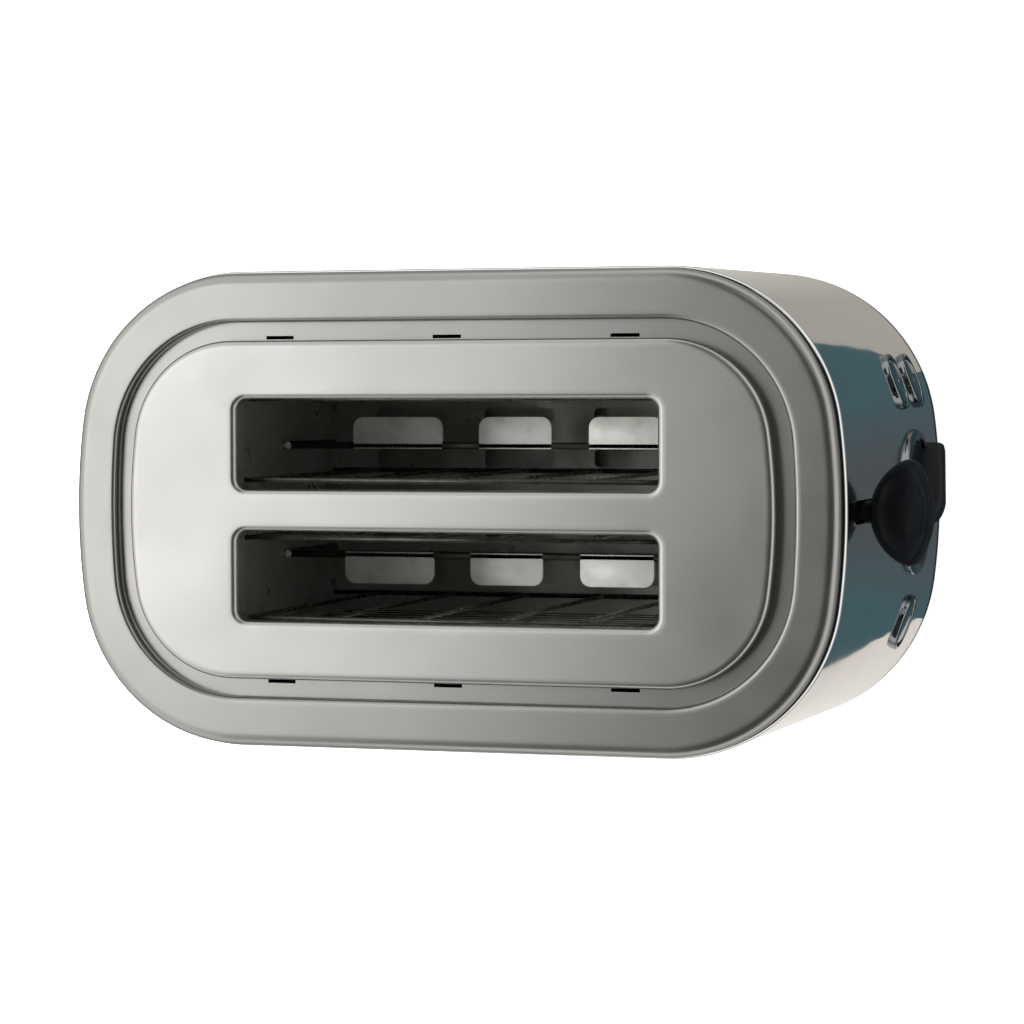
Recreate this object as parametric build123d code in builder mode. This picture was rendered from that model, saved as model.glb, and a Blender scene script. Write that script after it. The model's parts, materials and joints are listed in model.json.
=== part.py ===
"""Two-slice toaster with a polished wrap-round casing and its controls in one bowed end wall.

Millimetres, +Z up, +X towards the control end. The feet stand on z = 0, and the origin lies under
the middle of the whole length, lever and tray lip included.
"""

import os
from math import asin, atan2, copysign, cos, degrees, radians, sin, sqrt

from build123d import *

os.makedirs("parts", exist_ok=True)

# Fits and clearances
running_fit = 0.05
loose_fit = 0.3
slide_gap = 0.4

# Plan outlines: half length, half width, radius of the bowed ends, radius of the corners
rim_outline = (135.0, 80.9, 235.0, 58.1)
groove_outline = (119.9, 64.3, 314.0, 43.9)
plate_outline = (113.8, 57.9, 203.0, 36.0)

# Casing
sheet = 0.8
foot_height = 5.0
foot_radius = 8.0
foot_round = 1.0
stud_radius = 3.2
foot_spread_x = 98.0
foot_spread_y = 60.0
plate_sheet = 3.0
ring_lift = 1.5
ring_height = 4.8
ring_bulge = 3.4
ring_round = 1.5
seam = 0.7
skirt_growth = 0.5
skirt_wall = 2.0
skirt_lip_growth = 2.4
skirt_lip_height = 12.0
wrap_sheet = 1.0
wrap_height = 162.8
wrap_growth_low = 3.9
wrap_growth_high = 1.0
wrap_lip = 3.0
wrap_round = 0.9
seal_height = 1.7
seal_inset = 0.3
rim_height = 6.0
rim_round = 3.0
groove_round = 1.5
groove_depth = 4.5
rim_opening_inset = 3.0
rim_tab_places = (-60.0, 0.0, 62.0)
rim_tab_length = 10.0
rim_tab_width = 1.2
rim_tab_gap = 1.0
plate_rise = 1.5
plate_round = 2.0

# Bread slots in the top plate
slot_half_length = 75.4
slot_inner_edge = 6.6
slot_outer_edge = 38.4
slot_corner = 3.0
slot_lip = 10.0
slot_edge_round = 1.5

# Inner frames, floor and reflectors
frame_x = 96.0
frame_sheet = 1.0
frame_leg_width = 5.6
frame_neck_half_width = 44.0
frame_neck_height = 13.0
flange_length = 16.0
flange_width = 16.0
flange_thickness = 1.2
screw_x = 105.0
screw_inset = 4.0
screw_radius = 1.5
screw_head_radius = 3.4
screw_head_height = 1.6
screw_tail = 2.0
screw_cross_length = 3.6
screw_cross_width = 0.7
reflector_y = 52.0
reflector_gap = 6.0
window_length = 28.0
window_pitch = 44.0
window_count = 4
window_corner = 2.0
window_bands = ((7.0, 9.0), (-8.0, 7.0))

# Crumb tray
tray_half_width = 50.0
tray_sheet = 0.8
tray_wall = 8.0
tray_front_x = 90.0
tray_back_x = 130.0
tray_lip = 8.0
tray_corner = 3.0
tray_lip_half_width = 26.0
tray_lip_round = 4.8
tray_lip_thickness = 3.0
rail_width = 5.0
rail_half_length = 88.0

# Heating elements and bread guards
element_y = 45.0
board_thickness = 1.0
board_low_gap = 8.0
board_high_gap = 9.0
ribbon_width = 2.0
ribbon_thickness = 0.25
ribbon_rows = 12
ribbon_row_margin = 6.0
ribbon_end_margin = 10.0
guard_wire_radius = 0.9
guard_upright_radius = 0.75
guard_outer_inset = 0.4
guard_inner_inset = 3.3
guard_travel = 4.5
guard_pitch = 30.0
guard_uprights = 6
guard_middle_x = -2.0
guard_tail = 1.0
guard_low_gap = 6.0
guard_high_gap = 4.0

# Carriage, lifters and lever
lever_travel = 48.0
lifter_y = 20.3
lifter_thickness = 2.4
lifter_depth = 10.0
lifter_top = 82.0
lifter_tail = 3.0
tab_reach = 9.5
tab_spans = ((-70.0, 35.0), (-21.0, 28.0), (21.0, 28.0), (63.0, 28.0))
tab_thickness = 1.2
tab_corner = 4.0
carriage_gap = 7.0
carriage_sheet = 1.5
carriage_half_width = 28.0
carriage_margin = 3.0
rod_x = 112.0
rod_y = 14.0
rod_radius = 2.5
rod_boss_radius = 6.0
rod_boss_height = 12.0
rod_tail = 2.0
bush_half_width = 6.0
bush_height = 20.0
bush_low = 118.0
bush_corner = 1.0
spring_mean_radius = 4.3
spring_wire_radius = 0.5
spring_turns = 11
bracket_drop = 1.8
lever_slot_width = 8.0
lever_slot_headroom = 9.7
lever_slot_spare = 2.5
arm_half_thickness = 2.5
arm_low = 146.5
arm_height = 7.5
arm_grip = 9.0
knob_back = 140.0
knob_front = 160.6
knob_low = 141.5
knob_height = 16.5
knob_back_radius = 19.0
knob_corner_radius = 4.0
knob_front_radius = 30.0
knob_neck_half_width = 3.7
knob_neck_margin = 1.0
knob_neck_start = 137.8
knob_neck_end = 148.5
knob_round = 3.4
knob_rim = 2.4
knob_dish_depth = 2.4
knob_rim_round = 0.8

# Electromagnet and its armature
magnet_y = -15.0
magnet_core_radius = 4.0
magnet_coil_radius = 6.5
magnet_height = 22.0
magnet_cheek = 1.5
magnet_winding_inset = 1.0
magnet_clear = 1.0
magnet_core_rise = 2.0
armature_thickness = 2.0
armature_gap = 0.4

# Browning dial
dial_z = 55.0
dial_ring_radius = 26.5
dial_ring_inner = 22.0
dial_ring_crest = 1.4
dial_ring_root = 4.0
dial_disc_radius = 21.5
dial_disc_proud = 0.5
dial_disc_thickness = 3.5
dial_sleeve_depth = 6.0
dial_sleeve_wall = 1.2
dial_shaft_radius = 3.0
grip_thickness = 8.0
grip_root = 7.5
grip_tip = 23.3
grip_root_height = 11.1
grip_tip_height = 8.0
grip_angle = -35.0
grip_round = 2.0
grip_root_round = 3.8
grip_overlap = 1.0
pot_radius = 8.5
pot_depth = 7.0

# Push buttons: their places on the wall, with the sizes of each cap and its bezel
upper_button_y = 43.5
upper_button_z = 68.0
lower_button_y = 44.0
lower_button_z = 38.0
single_button_y = -43.8
single_button_z = 52.5
bezel_radius = 10.5
bezel_inner = 8.8
bezel_crest = 1.2
bezel_round = 0.75
bezel_sleeve_depth = 4.8
cap_radius = 8.1
cap_proud = 1.0
cap_thickness = 4.0
cap_round = 1.0
dot_radius = 0.6
dot_depth = 0.3
button_travel = 1.5
stem_radius = 1.5
switch_size = 6.0
switch_depth = 3.0
switch_bore_depth = 2.2
switch_foot = 2.0

# Circuit board
board_x = 121.0
board_sheet = 1.6
board_half_width = 50.0
board_low = 24.0
board_high = 94.0
post_inset = 5.0
post_thickness = 5.0
post_width = 8.0
post_rise = 6.0

# Cord inlet in the back wall
inlet_z = 40.0
inlet_radius = 8.0
inlet_bore = 3.7
inlet_flange = 2.5
inlet_neck_radius = 6.0
inlet_neck = 9.0
inlet_round = 1.0
terminal_width = 30.0
terminal_depth = 14.0
terminal_height = 16.0
terminal_ways = 3
terminal_bore = 2.7
terminal_bore_depth = 9.8

# Levels and places worked out from the sizes above
plate_level = foot_height + plate_sheet
ring_z = foot_height + ring_lift
seam_z = ring_z + ring_height
wrap_z = seam_z + seam
wrap_top = wrap_z + wrap_height
rim_z = wrap_top + seal_height
rim_top = rim_z + rim_height
groove_z = rim_top - groove_depth
plate_top = rim_top + plate_rise
plate_height = plate_top - groove_z
tray_z = wrap_z + slide_gap
skirt_top = wrap_z + skirt_lip_height
tray_top = tray_z + tray_wall
floor_z = tray_top + slide_gap
floor_top = floor_z + sheet
wrap_reach = rim_outline[0] + wrap_growth_low
tray_reach = wrap_reach + tray_lip
casing_x = (tray_reach - knob_front) / 2
frame_half_width = tray_half_width + slide_gap + frame_leg_width
screw_y = tray_half_width - screw_inset
slot_mid = (slot_inner_edge + slot_outer_edge) / 2
slot_width = slot_outer_edge - slot_inner_edge
frame_top = plate_top - sheet
button_places = (
    (upper_button_y, upper_button_z),
    (lower_button_y, lower_button_z),
    (single_button_y, single_button_z),
)
carriage_x = frame_x + carriage_gap
carriage_face = carriage_x + carriage_sheet
spring_z = plate_level + rod_boss_height
frame_outer = frame_x + frame_sheet
bracket_z = wrap_top - bracket_drop
lever_slot_top = arm_low + arm_height + lever_slot_headroom


def level(z):
    """The level plane at height z, centred on the casing."""
    return Plane((casing_x, 0, z))


def end_on(x):
    """The upright plane across the casing at x, with +Y to its right."""
    return Plane((casing_x + x, 0, 0), x_dir=(0, 1, 0), z_dir=(1, 0, 0))


def side_on(y):
    """The upright plane along the casing at y, with +X to its right."""
    return Plane((casing_x, y, 0), x_dir=(1, 0, 0), z_dir=(0, -1, 0))


def wrap_growth(z):
    """How far the wrap stands outside the rim's outline at height z."""
    share = (z - wrap_z) / wrap_height
    return wrap_growth_low + share * (wrap_growth_high - wrap_growth_low)


def arc_meeting(outline):
    """Where a plan outline's bowed end meets its corner: end centre, corner centre x and y, angle."""
    half_length, half_width, end_radius, corner_radius = outline
    end_x = half_length - end_radius
    corner_y = half_width - corner_radius
    corner_x = end_x + sqrt((end_radius - corner_radius) ** 2 - corner_y**2)
    return end_x, corner_x, corner_y, atan2(corner_y, corner_x - end_x)


def wall_plane(y, z, end=1):
    """The upright plane that lies on the end wall at y and z and faces out of it."""
    end_x, corner_x, corner_y, meeting = arc_meeting(rim_outline)
    reach = rim_outline[2] + wrap_growth(z)
    corner = rim_outline[3] + wrap_growth(z)
    if abs(y) <= reach * sin(meeting):
        turn = asin(y / reach)
        x = end_x + reach * cos(turn)
    else:
        turn = copysign(asin((abs(y) - corner_y) / corner), y)
        x = corner_x + corner * cos(turn)
    across = (-end * sin(turn), end * cos(turn), 0)
    return Plane((casing_x + end * x, y, z), x_dir=across, z_dir=(end * cos(turn), sin(turn), 0))


def plan(outline, growth, z):
    """A plan outline, grown outwards evenly, as a face at height z."""
    end_x, corner_x, corner_y, meeting = arc_meeting(outline)
    turn = degrees(meeting)
    corner = outline[3] + growth
    side = outline[1] + growth
    with BuildSketch(level(z)) as drawn:
        with BuildLine():
            CenterArc((end_x, 0), outline[2] + growth, -turn, 2 * turn)
            CenterArc((corner_x, corner_y), corner, turn, 90 - turn)
            CenterArc((corner_x, -corner_y), corner, -90, 90 - turn)
            mirror(about=Plane.YZ)
            Line((corner_x, side), (-corner_x, side))
            Line((-corner_x, -side), (corner_x, -side))
        make_face()
    return drawn.sketch.face()


def lift(face, height, mode=Mode.ADD):
    """Extrudes a level face upwards."""
    extrude(face, amount=height, dir=(0, 0, 1), mode=mode)


def slot_plan(growth, z):
    """Both bread slots, grown outwards evenly, as faces at height z."""
    with BuildSketch(level(z)) as drawn:
        with Locations((0, slot_mid), (0, -slot_mid)):
            RectangleRounded(
                2 * (slot_half_length + growth), slot_width + 2 * growth, slot_corner + growth
            )
    return drawn.sketch.faces()


# Feet: four rubber pads, each with a stud pushed up into the base plate
foot_places = [(x, y) for x in (-foot_spread_x, foot_spread_x) for y in (-foot_spread_y, foot_spread_y)]
for number, place in enumerate(foot_places, start=1):
    with BuildPart() as foot:
        with BuildSketch(level(0)):
            with Locations(place):
                Circle(foot_radius)
        extrude(amount=foot_height)
        fillet(foot.edges().sort_by(Axis.Z)[0], foot_round)
        with BuildSketch(level(foot_height)):
            with Locations(place):
                Circle(stud_radius)
        extrude(amount=plate_sheet)
    foot.part.label = f"foot_{number}"
    export_step(foot.part, f"parts/foot_{number}.step")

# Base plate: the moulded floor, with the tray's rails and the guide rod's boss
screw_places = [(x, y) for x in (-screw_x, screw_x) for y in (-screw_y, screw_y)]
with BuildPart() as base_plate:
    lift(plan(rim_outline, skirt_growth, foot_height), plate_sheet)
    with BuildSketch(level(plate_level)):
        for side in (-1, 1):
            with Locations((0, side * (tray_half_width - rail_width))):
                Rectangle(2 * rail_half_length, rail_width)
    extrude(amount=tray_z - plate_level)
    with BuildSketch(level(plate_level)):
        for side in (-1, 1):
            with Locations((0, side * (tray_half_width + slide_gap + skirt_wall / 2))):
                Rectangle(2 * rail_half_length, skirt_wall)
    extrude(amount=tray_top - plate_level - slide_gap)
    with BuildSketch(level(plate_level)):
        with Locations((rod_x, rod_y)):
            Circle(rod_boss_radius)
            Circle(rod_radius, mode=Mode.SUBTRACT)
    extrude(amount=rod_boss_height)
    with BuildSketch(level(foot_height)):
        with Locations(*foot_places):
            Circle(stud_radius)
        with Locations(*screw_places):
            Circle(screw_radius + running_fit)
    extrude(amount=plate_sheet, mode=Mode.SUBTRACT)
    with BuildSketch(level(foot_height)):
        with Locations(*screw_places):
            Circle(screw_head_radius + loose_fit)
    extrude(amount=screw_head_height, mode=Mode.SUBTRACT)
base_plate.part.label = "base_plate"
export_step(base_plate.part, "parts/base_plate.step")

# Base skirt: the moulded frame on the plate, with a shoulder for the wrap and a locating lip,
# open at the back for the crumb tray
with BuildPart() as base_skirt:
    lift(plan(rim_outline, skirt_growth, plate_level), wrap_z - plate_level)
    lift(plan(rim_outline, ring_bulge - loose_fit / 2, seam_z), seam)
    lift(plan(rim_outline, skirt_lip_growth, wrap_z), skirt_lip_height)
    lift(plan(rim_outline, skirt_growth - skirt_wall, plate_level), skirt_top, Mode.SUBTRACT)
    with BuildSketch(end_on(-rim_outline[0] - skirt_lip_growth)):
        with Locations((0, wrap_z + skirt_lip_height / 2)):
            Rectangle(2 * (tray_half_width + slide_gap), skirt_lip_height)
    extrude(amount=rim_outline[0] - frame_outer, mode=Mode.SUBTRACT)
base_skirt.part.label = "base_skirt"
export_step(base_skirt.part, "parts/base_skirt.step")

# Base ring: the bright band round the skirt, pushed up against the shoulder
with BuildPart() as base_ring:
    lift(plan(rim_outline, ring_bulge, ring_z), ring_height)
    fillet(base_ring.faces().sort_by(Axis.Z)[0].edges(), ring_round)
    fillet(base_ring.faces().sort_by(Axis.Z)[-1].edges(), ring_round / 2)
    lift(plan(rim_outline, skirt_growth, ring_z), ring_height, Mode.SUBTRACT)
base_ring.part.label = "base_ring"
export_step(base_ring.part, "parts/base_ring.step")

# Base screws: heads up inside the plate, shanks through the feet of the inner frames
screw_length = plate_sheet - screw_head_height + flange_thickness + screw_tail
with BuildPart() as base_screws:
    for place in screw_places:
        with BuildSketch(level(foot_height)):
            with Locations(place):
                Circle(screw_head_radius)
        extrude(amount=screw_head_height)
        with BuildSketch(level(foot_height + screw_head_height)):
            with Locations(place):
                Circle(screw_radius)
        extrude(amount=screw_length)
        with BuildSketch(level(foot_height)):
            with Locations(place):
                Rectangle(screw_cross_length, screw_cross_width)
                Rectangle(screw_cross_width, screw_cross_length)
        extrude(amount=screw_head_height / 2, mode=Mode.SUBTRACT)
base_screws.part.label = "base_screws"
export_step(base_screws.part, "parts/base_screws.step")


def wrap_block(inset):
    """The wrap's outer shape as a solid block, drawn in evenly by an inset."""
    with BuildPart() as block:
        low = plan(rim_outline, wrap_growth_low - inset, wrap_z)
        high = plan(rim_outline, wrap_growth_high - inset, wrap_top)
        loft([low, high], ruled=True)
    return block.part


# The polished band as one shell, leaning in towards the top, with openings for all the controls
with BuildPart() as wrap_shell:
    add(wrap_block(0))
    fillet(wrap_shell.faces().sort_by(Axis.Z)[-1].edges(), wrap_round)
    add(wrap_block(wrap_sheet), mode=Mode.SUBTRACT)
    lift(plan(rim_outline, wrap_growth_high - wrap_sheet / 2, wrap_top - wrap_sheet), wrap_sheet)
    lift(plan(rim_outline, wrap_growth_high - wrap_lip, wrap_top - wrap_sheet), wrap_sheet, Mode.SUBTRACT)
    lever_slot_low = arm_low - lever_travel - lever_slot_spare
    with BuildSketch(end_on(carriage_x)):
        with Locations((0, (lever_slot_low + lever_slot_top) / 2)):
            SlotOverall(lever_slot_top - lever_slot_low, lever_slot_width, rotation=90)
        with Locations((0, dial_z)):
            Circle(dial_ring_inner + dial_sleeve_wall + running_fit)
    extrude(amount=wrap_reach, mode=Mode.SUBTRACT)
    for place in button_places:
        with BuildSketch(wall_plane(*place)):
            Circle(bezel_inner + sheet + running_fit)
        extrude(amount=bezel_radius, both=True, mode=Mode.SUBTRACT)
    with BuildSketch(wall_plane(0, inlet_z, end=-1)):
        Circle(inlet_neck_radius + running_fit)
    extrude(amount=inlet_radius, both=True, mode=Mode.SUBTRACT)
    with BuildSketch(end_on(-wrap_reach)):
        with Locations((0, (wrap_z + floor_z) / 2)):
            Rectangle(2 * (tray_half_width + slide_gap), floor_z - wrap_z)
    extrude(amount=wrap_reach - frame_outer, mode=Mode.SUBTRACT)

# Wrap panels: two flat sides and two bowed ends with their corners, welded and polished over
panel_x = arc_meeting(rim_outline)[1]
panel_y = rim_outline[1] + wrap_growth_low
panel_spans = (
    ("wrap_front", -panel_x, panel_x, -panel_y, 0),
    ("wrap_back", -panel_x, panel_x, 0, panel_y),
    ("wrap_control_end", panel_x, wrap_reach, -panel_y, panel_y),
    ("wrap_rear_end", -wrap_reach, -panel_x, -panel_y, panel_y),
)
for name, low_x, high_x, low_y, high_y in panel_spans:
    with BuildPart() as wrap_panel:
        add(wrap_shell.part)
        with BuildSketch(level(wrap_z)):
            with Locations(((low_x + high_x) / 2, (low_y + high_y) / 2)):
                Rectangle(high_x - low_x, high_y - low_y)
        extrude(amount=wrap_height, mode=Mode.INTERSECT)
    wrap_panel.part.label = name
    export_step(wrap_panel.part, f"parts/{name}.step")

# Top seal: the black strip in the shadow gap between wrap and rim
with BuildPart() as top_seal:
    lift(plan(rim_outline, -seal_inset, wrap_top), seal_height)
    lift(plan(rim_outline, wrap_growth_high - wrap_lip, wrap_top), seal_height, Mode.SUBTRACT)
top_seal.part.label = "top_seal"
export_step(top_seal.part, "parts/top_seal.step")

# Top rim: a stamped frame with a rounded shoulder, an inner groove and three tab slots a side
with BuildPart() as rim_channel:
    lift(plan(rim_outline, -sheet, rim_z), rim_height - sheet)
    fillet(rim_channel.faces().sort_by(Axis.Z)[-1].edges(), rim_round - sheet)
    lift(plan(groove_outline, sheet, rim_z), rim_height, Mode.SUBTRACT)
with BuildPart() as top_rim:
    lift(plan(rim_outline, 0, rim_z), rim_height)
    fillet(top_rim.faces().sort_by(Axis.Z)[-1].edges(), rim_round)
    lift(plan(groove_outline, 0, groove_z), groove_depth, Mode.SUBTRACT)
    groove_edges = top_rim.faces().sort_by(Axis.Z)[-1].inner_wires()[0].edges()
    fillet(groove_edges, groove_round)
    add(rim_channel.part, mode=Mode.SUBTRACT)
    lift(plan(groove_outline, 0, rim_z), groove_z - sheet - rim_z, Mode.SUBTRACT)
    lift(plan(plate_outline, -rim_opening_inset, rim_z), rim_height, Mode.SUBTRACT)
    with BuildSketch(level(rim_z)):
        for x in rim_tab_places:
            for side in (-1, 1):
                with Locations((x, side * (plate_outline[1] + rim_tab_gap))):
                    Rectangle(rim_tab_length, rim_tab_width)
    extrude(amount=rim_height, mode=Mode.SUBTRACT)
top_rim.part.label = "top_rim"
export_step(top_rim.part, "parts/top_rim.step")

# Top plate: a shallow lid with two rounded bread slots and their turned-down lips
with BuildPart() as top_plate:
    lift(plan(plate_outline, 0, groove_z), plate_height)
    fillet(top_plate.faces().sort_by(Axis.Z)[-1].edges(), plate_round)
    offset(amount=-sheet, openings=top_plate.faces().sort_by(Axis.Z)[0])
    extrude(slot_plan(sheet, plate_top - slot_lip), amount=slot_lip - sheet / 2, dir=(0, 0, 1))
    extrude(slot_plan(slot_edge_round + sheet, plate_top - sheet - slot_edge_round),
            amount=slot_edge_round + sheet / 2, dir=(0, 0, 1))
    extrude(slot_plan(0, plate_top - slot_lip), amount=slot_lip, dir=(0, 0, 1), mode=Mode.SUBTRACT)
    rims = top_plate.faces().filter_by(Plane.XY).sort_by(Axis.Z)[-1].inner_wires()
    fillet([edge for wire in rims for edge in wire.edges()], slot_edge_round)
top_plate.part.label = "top_plate"
export_step(top_plate.part, "parts/top_plate.step")

# Inner frames: upright sheets that carry floor, reflectors, elements, guards and guide rod
guard_low = floor_top + guard_low_gap
guard_high = plate_top - slot_lip - guard_high_gap
guard_rest = [slot_outer_edge - guard_outer_inset, slot_inner_edge + guard_inner_inset]
lifter_low = lifter_top - lifter_depth


def inner_frame(end):
    """One upright frame with its floor flanges, as a part; end is 1 at the controls, -1 at the back."""
    face_x = frame_x if end > 0 else -frame_outer
    with BuildPart() as frame:
        with BuildSketch(end_on(face_x)):
            with Locations((0, (plate_level + frame_top - frame_neck_height) / 2)):
                Rectangle(2 * frame_half_width, frame_top - frame_neck_height - plate_level)
            with Locations((0, (plate_level + frame_top) / 2)):
                Rectangle(2 * frame_neck_half_width, frame_top - plate_level)
            with Locations((0, (plate_level + floor_z) / 2)):
                Rectangle(2 * (tray_half_width + slide_gap), floor_z - plate_level, mode=Mode.SUBTRACT)
            for side in (-1, 1):
                with Locations((side * lifter_y, lifter_top - (lifter_depth + lever_travel) / 2)):
                    Rectangle(
                        lifter_thickness + 2 * loose_fit,
                        lifter_depth + lever_travel + 2 * loose_fit,
                        mode=Mode.SUBTRACT,
                    )
                for rest, way in ((guard_rest[0], -1), (guard_rest[1], 1)):
                    with Locations(
                        (side * (rest + way * guard_travel / 2), guard_low),
                        (side * (rest + way * guard_travel / 2), guard_high),
                    ):
                        SlotOverall(
                            guard_travel + 2 * (guard_wire_radius + loose_fit),
                            2 * (guard_wire_radius + loose_fit),
                            mode=Mode.SUBTRACT,
                        )
        extrude(amount=frame_sheet)
        with BuildSketch(level(plate_level)):
            for side in (-1, 1):
                with Locations(
                    (end * (frame_x + flange_length / 2), side * (frame_half_width - flange_width / 2))
                ):
                    Rectangle(flange_length, flange_width)
        extrude(amount=flange_thickness)
        with BuildSketch(level(plate_level)):
            with Locations((end * screw_x, screw_y), (end * screw_x, -screw_y)):
                Circle(screw_radius)
        extrude(amount=flange_thickness, mode=Mode.SUBTRACT)
    return frame.part


with BuildPart() as front_frame:
    add(inner_frame(1))
    with BuildSketch(level(bracket_z)):
        with Locations(((frame_x + rod_x + rod_boss_radius) / 2, rod_y)):
            Rectangle(rod_x + rod_boss_radius - frame_x, 2 * rod_boss_radius)
    extrude(amount=frame_sheet)
    with BuildSketch(level(bracket_z)):
        with Locations((rod_x, rod_y)):
            Circle(rod_radius)
    extrude(amount=frame_sheet, mode=Mode.SUBTRACT)
front_frame.part.label = "front_frame"
export_step(front_frame.part, "parts/front_frame.step")

with BuildPart() as rear_frame:
    add(inner_frame(-1))
rear_frame.part.label = "rear_frame"
export_step(rear_frame.part, "parts/rear_frame.step")

# Floor plate: the chamber's floor, with crumb windows either side of each lifter
with BuildPart() as floor_plate:
    with BuildSketch(level(floor_z)):
        Rectangle(2 * frame_x, 2 * (frame_half_width - sheet))
        for side in (-1, 1):
            for band_shift, band_width in window_bands:
                with Locations((0, side * (slot_mid + band_shift))):
                    with GridLocations(window_pitch, 0, window_count, 1):
                        RectangleRounded(window_length, band_width, window_corner, mode=Mode.SUBTRACT)
    extrude(amount=sheet)
floor_plate.part.label = "floor_plate"
export_step(floor_plate.part, "parts/floor_plate.step")

# Side reflectors: bright sheets behind the outer elements, standing on the floor plate
reflector_height = guard_high - floor_top + reflector_gap
for number, side in enumerate((1, -1), start=1):
    with BuildPart() as side_reflector:
        with BuildSketch(level(floor_top)):
            with Locations((0, side * reflector_y)):
                Rectangle(2 * frame_x, sheet)
        extrude(amount=reflector_height)
        with BuildSketch(level(floor_top + reflector_height - sheet)):
            with Locations((0, side * (reflector_y - sheet))):
                Rectangle(2 * frame_x, 3 * sheet)
        extrude(amount=sheet)
    side_reflector.part.label = f"side_reflector_{number}"
    export_step(side_reflector.part, f"parts/side_reflector_{number}.step")

# Heating elements: mica boards held between the frames, each wound with a flat ribbon
board_foot = floor_top + board_low_gap
board_head = plate_top - slot_lip - board_high_gap
row_pitch = (board_head - board_foot - 2 * ribbon_row_margin) / (ribbon_rows - 1)
ribbon_half_length = frame_x - ribbon_end_margin


def ribbon_path(y, faces):
    """The heating ribbon on a board's face: level runs joined at alternate ends."""
    with BuildSketch(side_on(y)) as drawn:
        for row in range(ribbon_rows):
            with Locations((0, board_foot + ribbon_row_margin + row * row_pitch)):
                Rectangle(2 * ribbon_half_length, ribbon_width)
        for row in range(ribbon_rows - 1):
            turn_x = (ribbon_half_length - ribbon_width / 2) * (1 if row % 2 else -1)
            with Locations((turn_x, board_foot + ribbon_row_margin + (row + 0.5) * row_pitch)):
                Rectangle(ribbon_width, row_pitch + ribbon_width)
    for way in faces:
        extrude(drawn.sketch.faces(), amount=ribbon_thickness, dir=(0, way, 0))


element_sets = (("back", element_y, (-1,)), ("middle", 0.0, (-1, 1)), ("front", -element_y, (1,)))
for place, y, faces in element_sets:
    with BuildPart() as element_board:
        with BuildSketch(side_on(y + board_thickness / 2)):
            with Locations((0, (board_foot + board_head) / 2)):
                Rectangle(2 * frame_x, board_head - board_foot)
        extrude(amount=board_thickness)
    element_board.part.label = f"element_board_{place}"
    export_step(element_board.part, f"parts/element_board_{place}.step")
    with BuildPart() as element_ribbon:
        for way in faces:
            ribbon_path(y + way * board_thickness / 2, (way,))
    element_ribbon.part.label = f"element_ribbon_{place}"
    export_step(element_ribbon.part, f"parts/element_ribbon_{place}.step")

# Bread guards: wire grilles each side of a slot, their ends running in slots of both frames
guard_sets = (
    ("back_outer", guard_rest[0]),
    ("back_inner", guard_rest[1]),
    ("front_inner", -guard_rest[1]),
    ("front_outer", -guard_rest[0]),
)
for place, y in guard_sets:
    with BuildPart() as guard:
        for height in (guard_low, guard_high):
            with BuildSketch(end_on(-frame_outer - guard_tail)):
                with Locations((y, height)):
                    Circle(guard_wire_radius)
            extrude(amount=2 * (frame_outer + guard_tail))
        with BuildSketch(level(guard_low)):
            with Locations((guard_middle_x, y)):
                with GridLocations(guard_pitch, 0, guard_uprights, 1):
                    Circle(guard_upright_radius)
        extrude(amount=guard_high - guard_low)
    guard.part.label = f"guard_{place}"
    export_step(guard.part, f"parts/guard_{place}.step")

# Bread lifters: folded strips through both frames, with shelf tabs on their outer side
for number, side in enumerate((1, -1), start=1):
    with BuildPart() as lifter:
        with BuildSketch(end_on(-frame_outer - lifter_tail)):
            with Locations((side * lifter_y, (lifter_low + lifter_top) / 2)):
                Rectangle(lifter_thickness, lifter_depth)
        extrude(amount=frame_outer + lifter_tail + carriage_x)
        for start, length in tab_spans:
            with BuildSketch(level(lifter_top - tab_thickness)):
                with Locations((start + length / 2, side * (lifter_y + tab_reach / 2))):
                    Rectangle(length, tab_reach + lifter_thickness)
                fillet(vertices().group_by(Axis.Y)[-1 if side > 0 else 0], tab_corner)
            extrude(amount=tab_thickness)
    lifter.part.label = f"lifter_{number}"
    export_step(lifter.part, f"parts/lifter_{number}.step")

# Carriage: the plate behind the control wall that joins both lifters, the bush and the lever
with BuildPart() as carriage:
    with BuildSketch(end_on(carriage_x)):
        with Locations((0, (lifter_low + lifter_top) / 2)):
            Rectangle(2 * carriage_half_width, lifter_depth + 2 * carriage_margin)
        with Locations(((rod_y + bush_half_width) / 2, (lifter_low + arm_low + arm_height) / 2)):
            Rectangle(rod_y + bush_half_width, arm_low + arm_height - lifter_low)
        with Locations((0, arm_low + arm_height / 2)):
            Rectangle(2 * rod_y, arm_height)
    extrude(amount=carriage_sheet)
carriage.part.label = "carriage"
export_step(carriage.part, "parts/carriage.step")

# Carriage bush: the moulded slider on the guide rod
with BuildPart() as carriage_bush:
    with BuildSketch(level(bush_low)):
        bush_reach = rod_x + bush_half_width - carriage_face
        with Locations((carriage_face + bush_reach / 2, rod_y)):
            RectangleRounded(bush_reach, 2 * bush_half_width, bush_corner)
    extrude(amount=bush_height)
    with BuildSketch(level(bush_low)):
        with Locations((rod_x, rod_y)):
            Circle(rod_radius + running_fit)
    extrude(amount=bush_height, mode=Mode.SUBTRACT)
carriage_bush.part.label = "carriage_bush"
export_step(carriage_bush.part, "parts/carriage_bush.step")

# Guide rod: from the plate's boss up to the frame's bracket
with BuildPart() as guide_rod:
    with BuildSketch(level(plate_level)):
        with Locations((rod_x, rod_y)):
            Circle(rod_radius)
    extrude(amount=bracket_z + frame_sheet - plate_level + rod_tail)
guide_rod.part.label = "guide_rod"
export_step(guide_rod.part, "parts/guide_rod.step")

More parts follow.
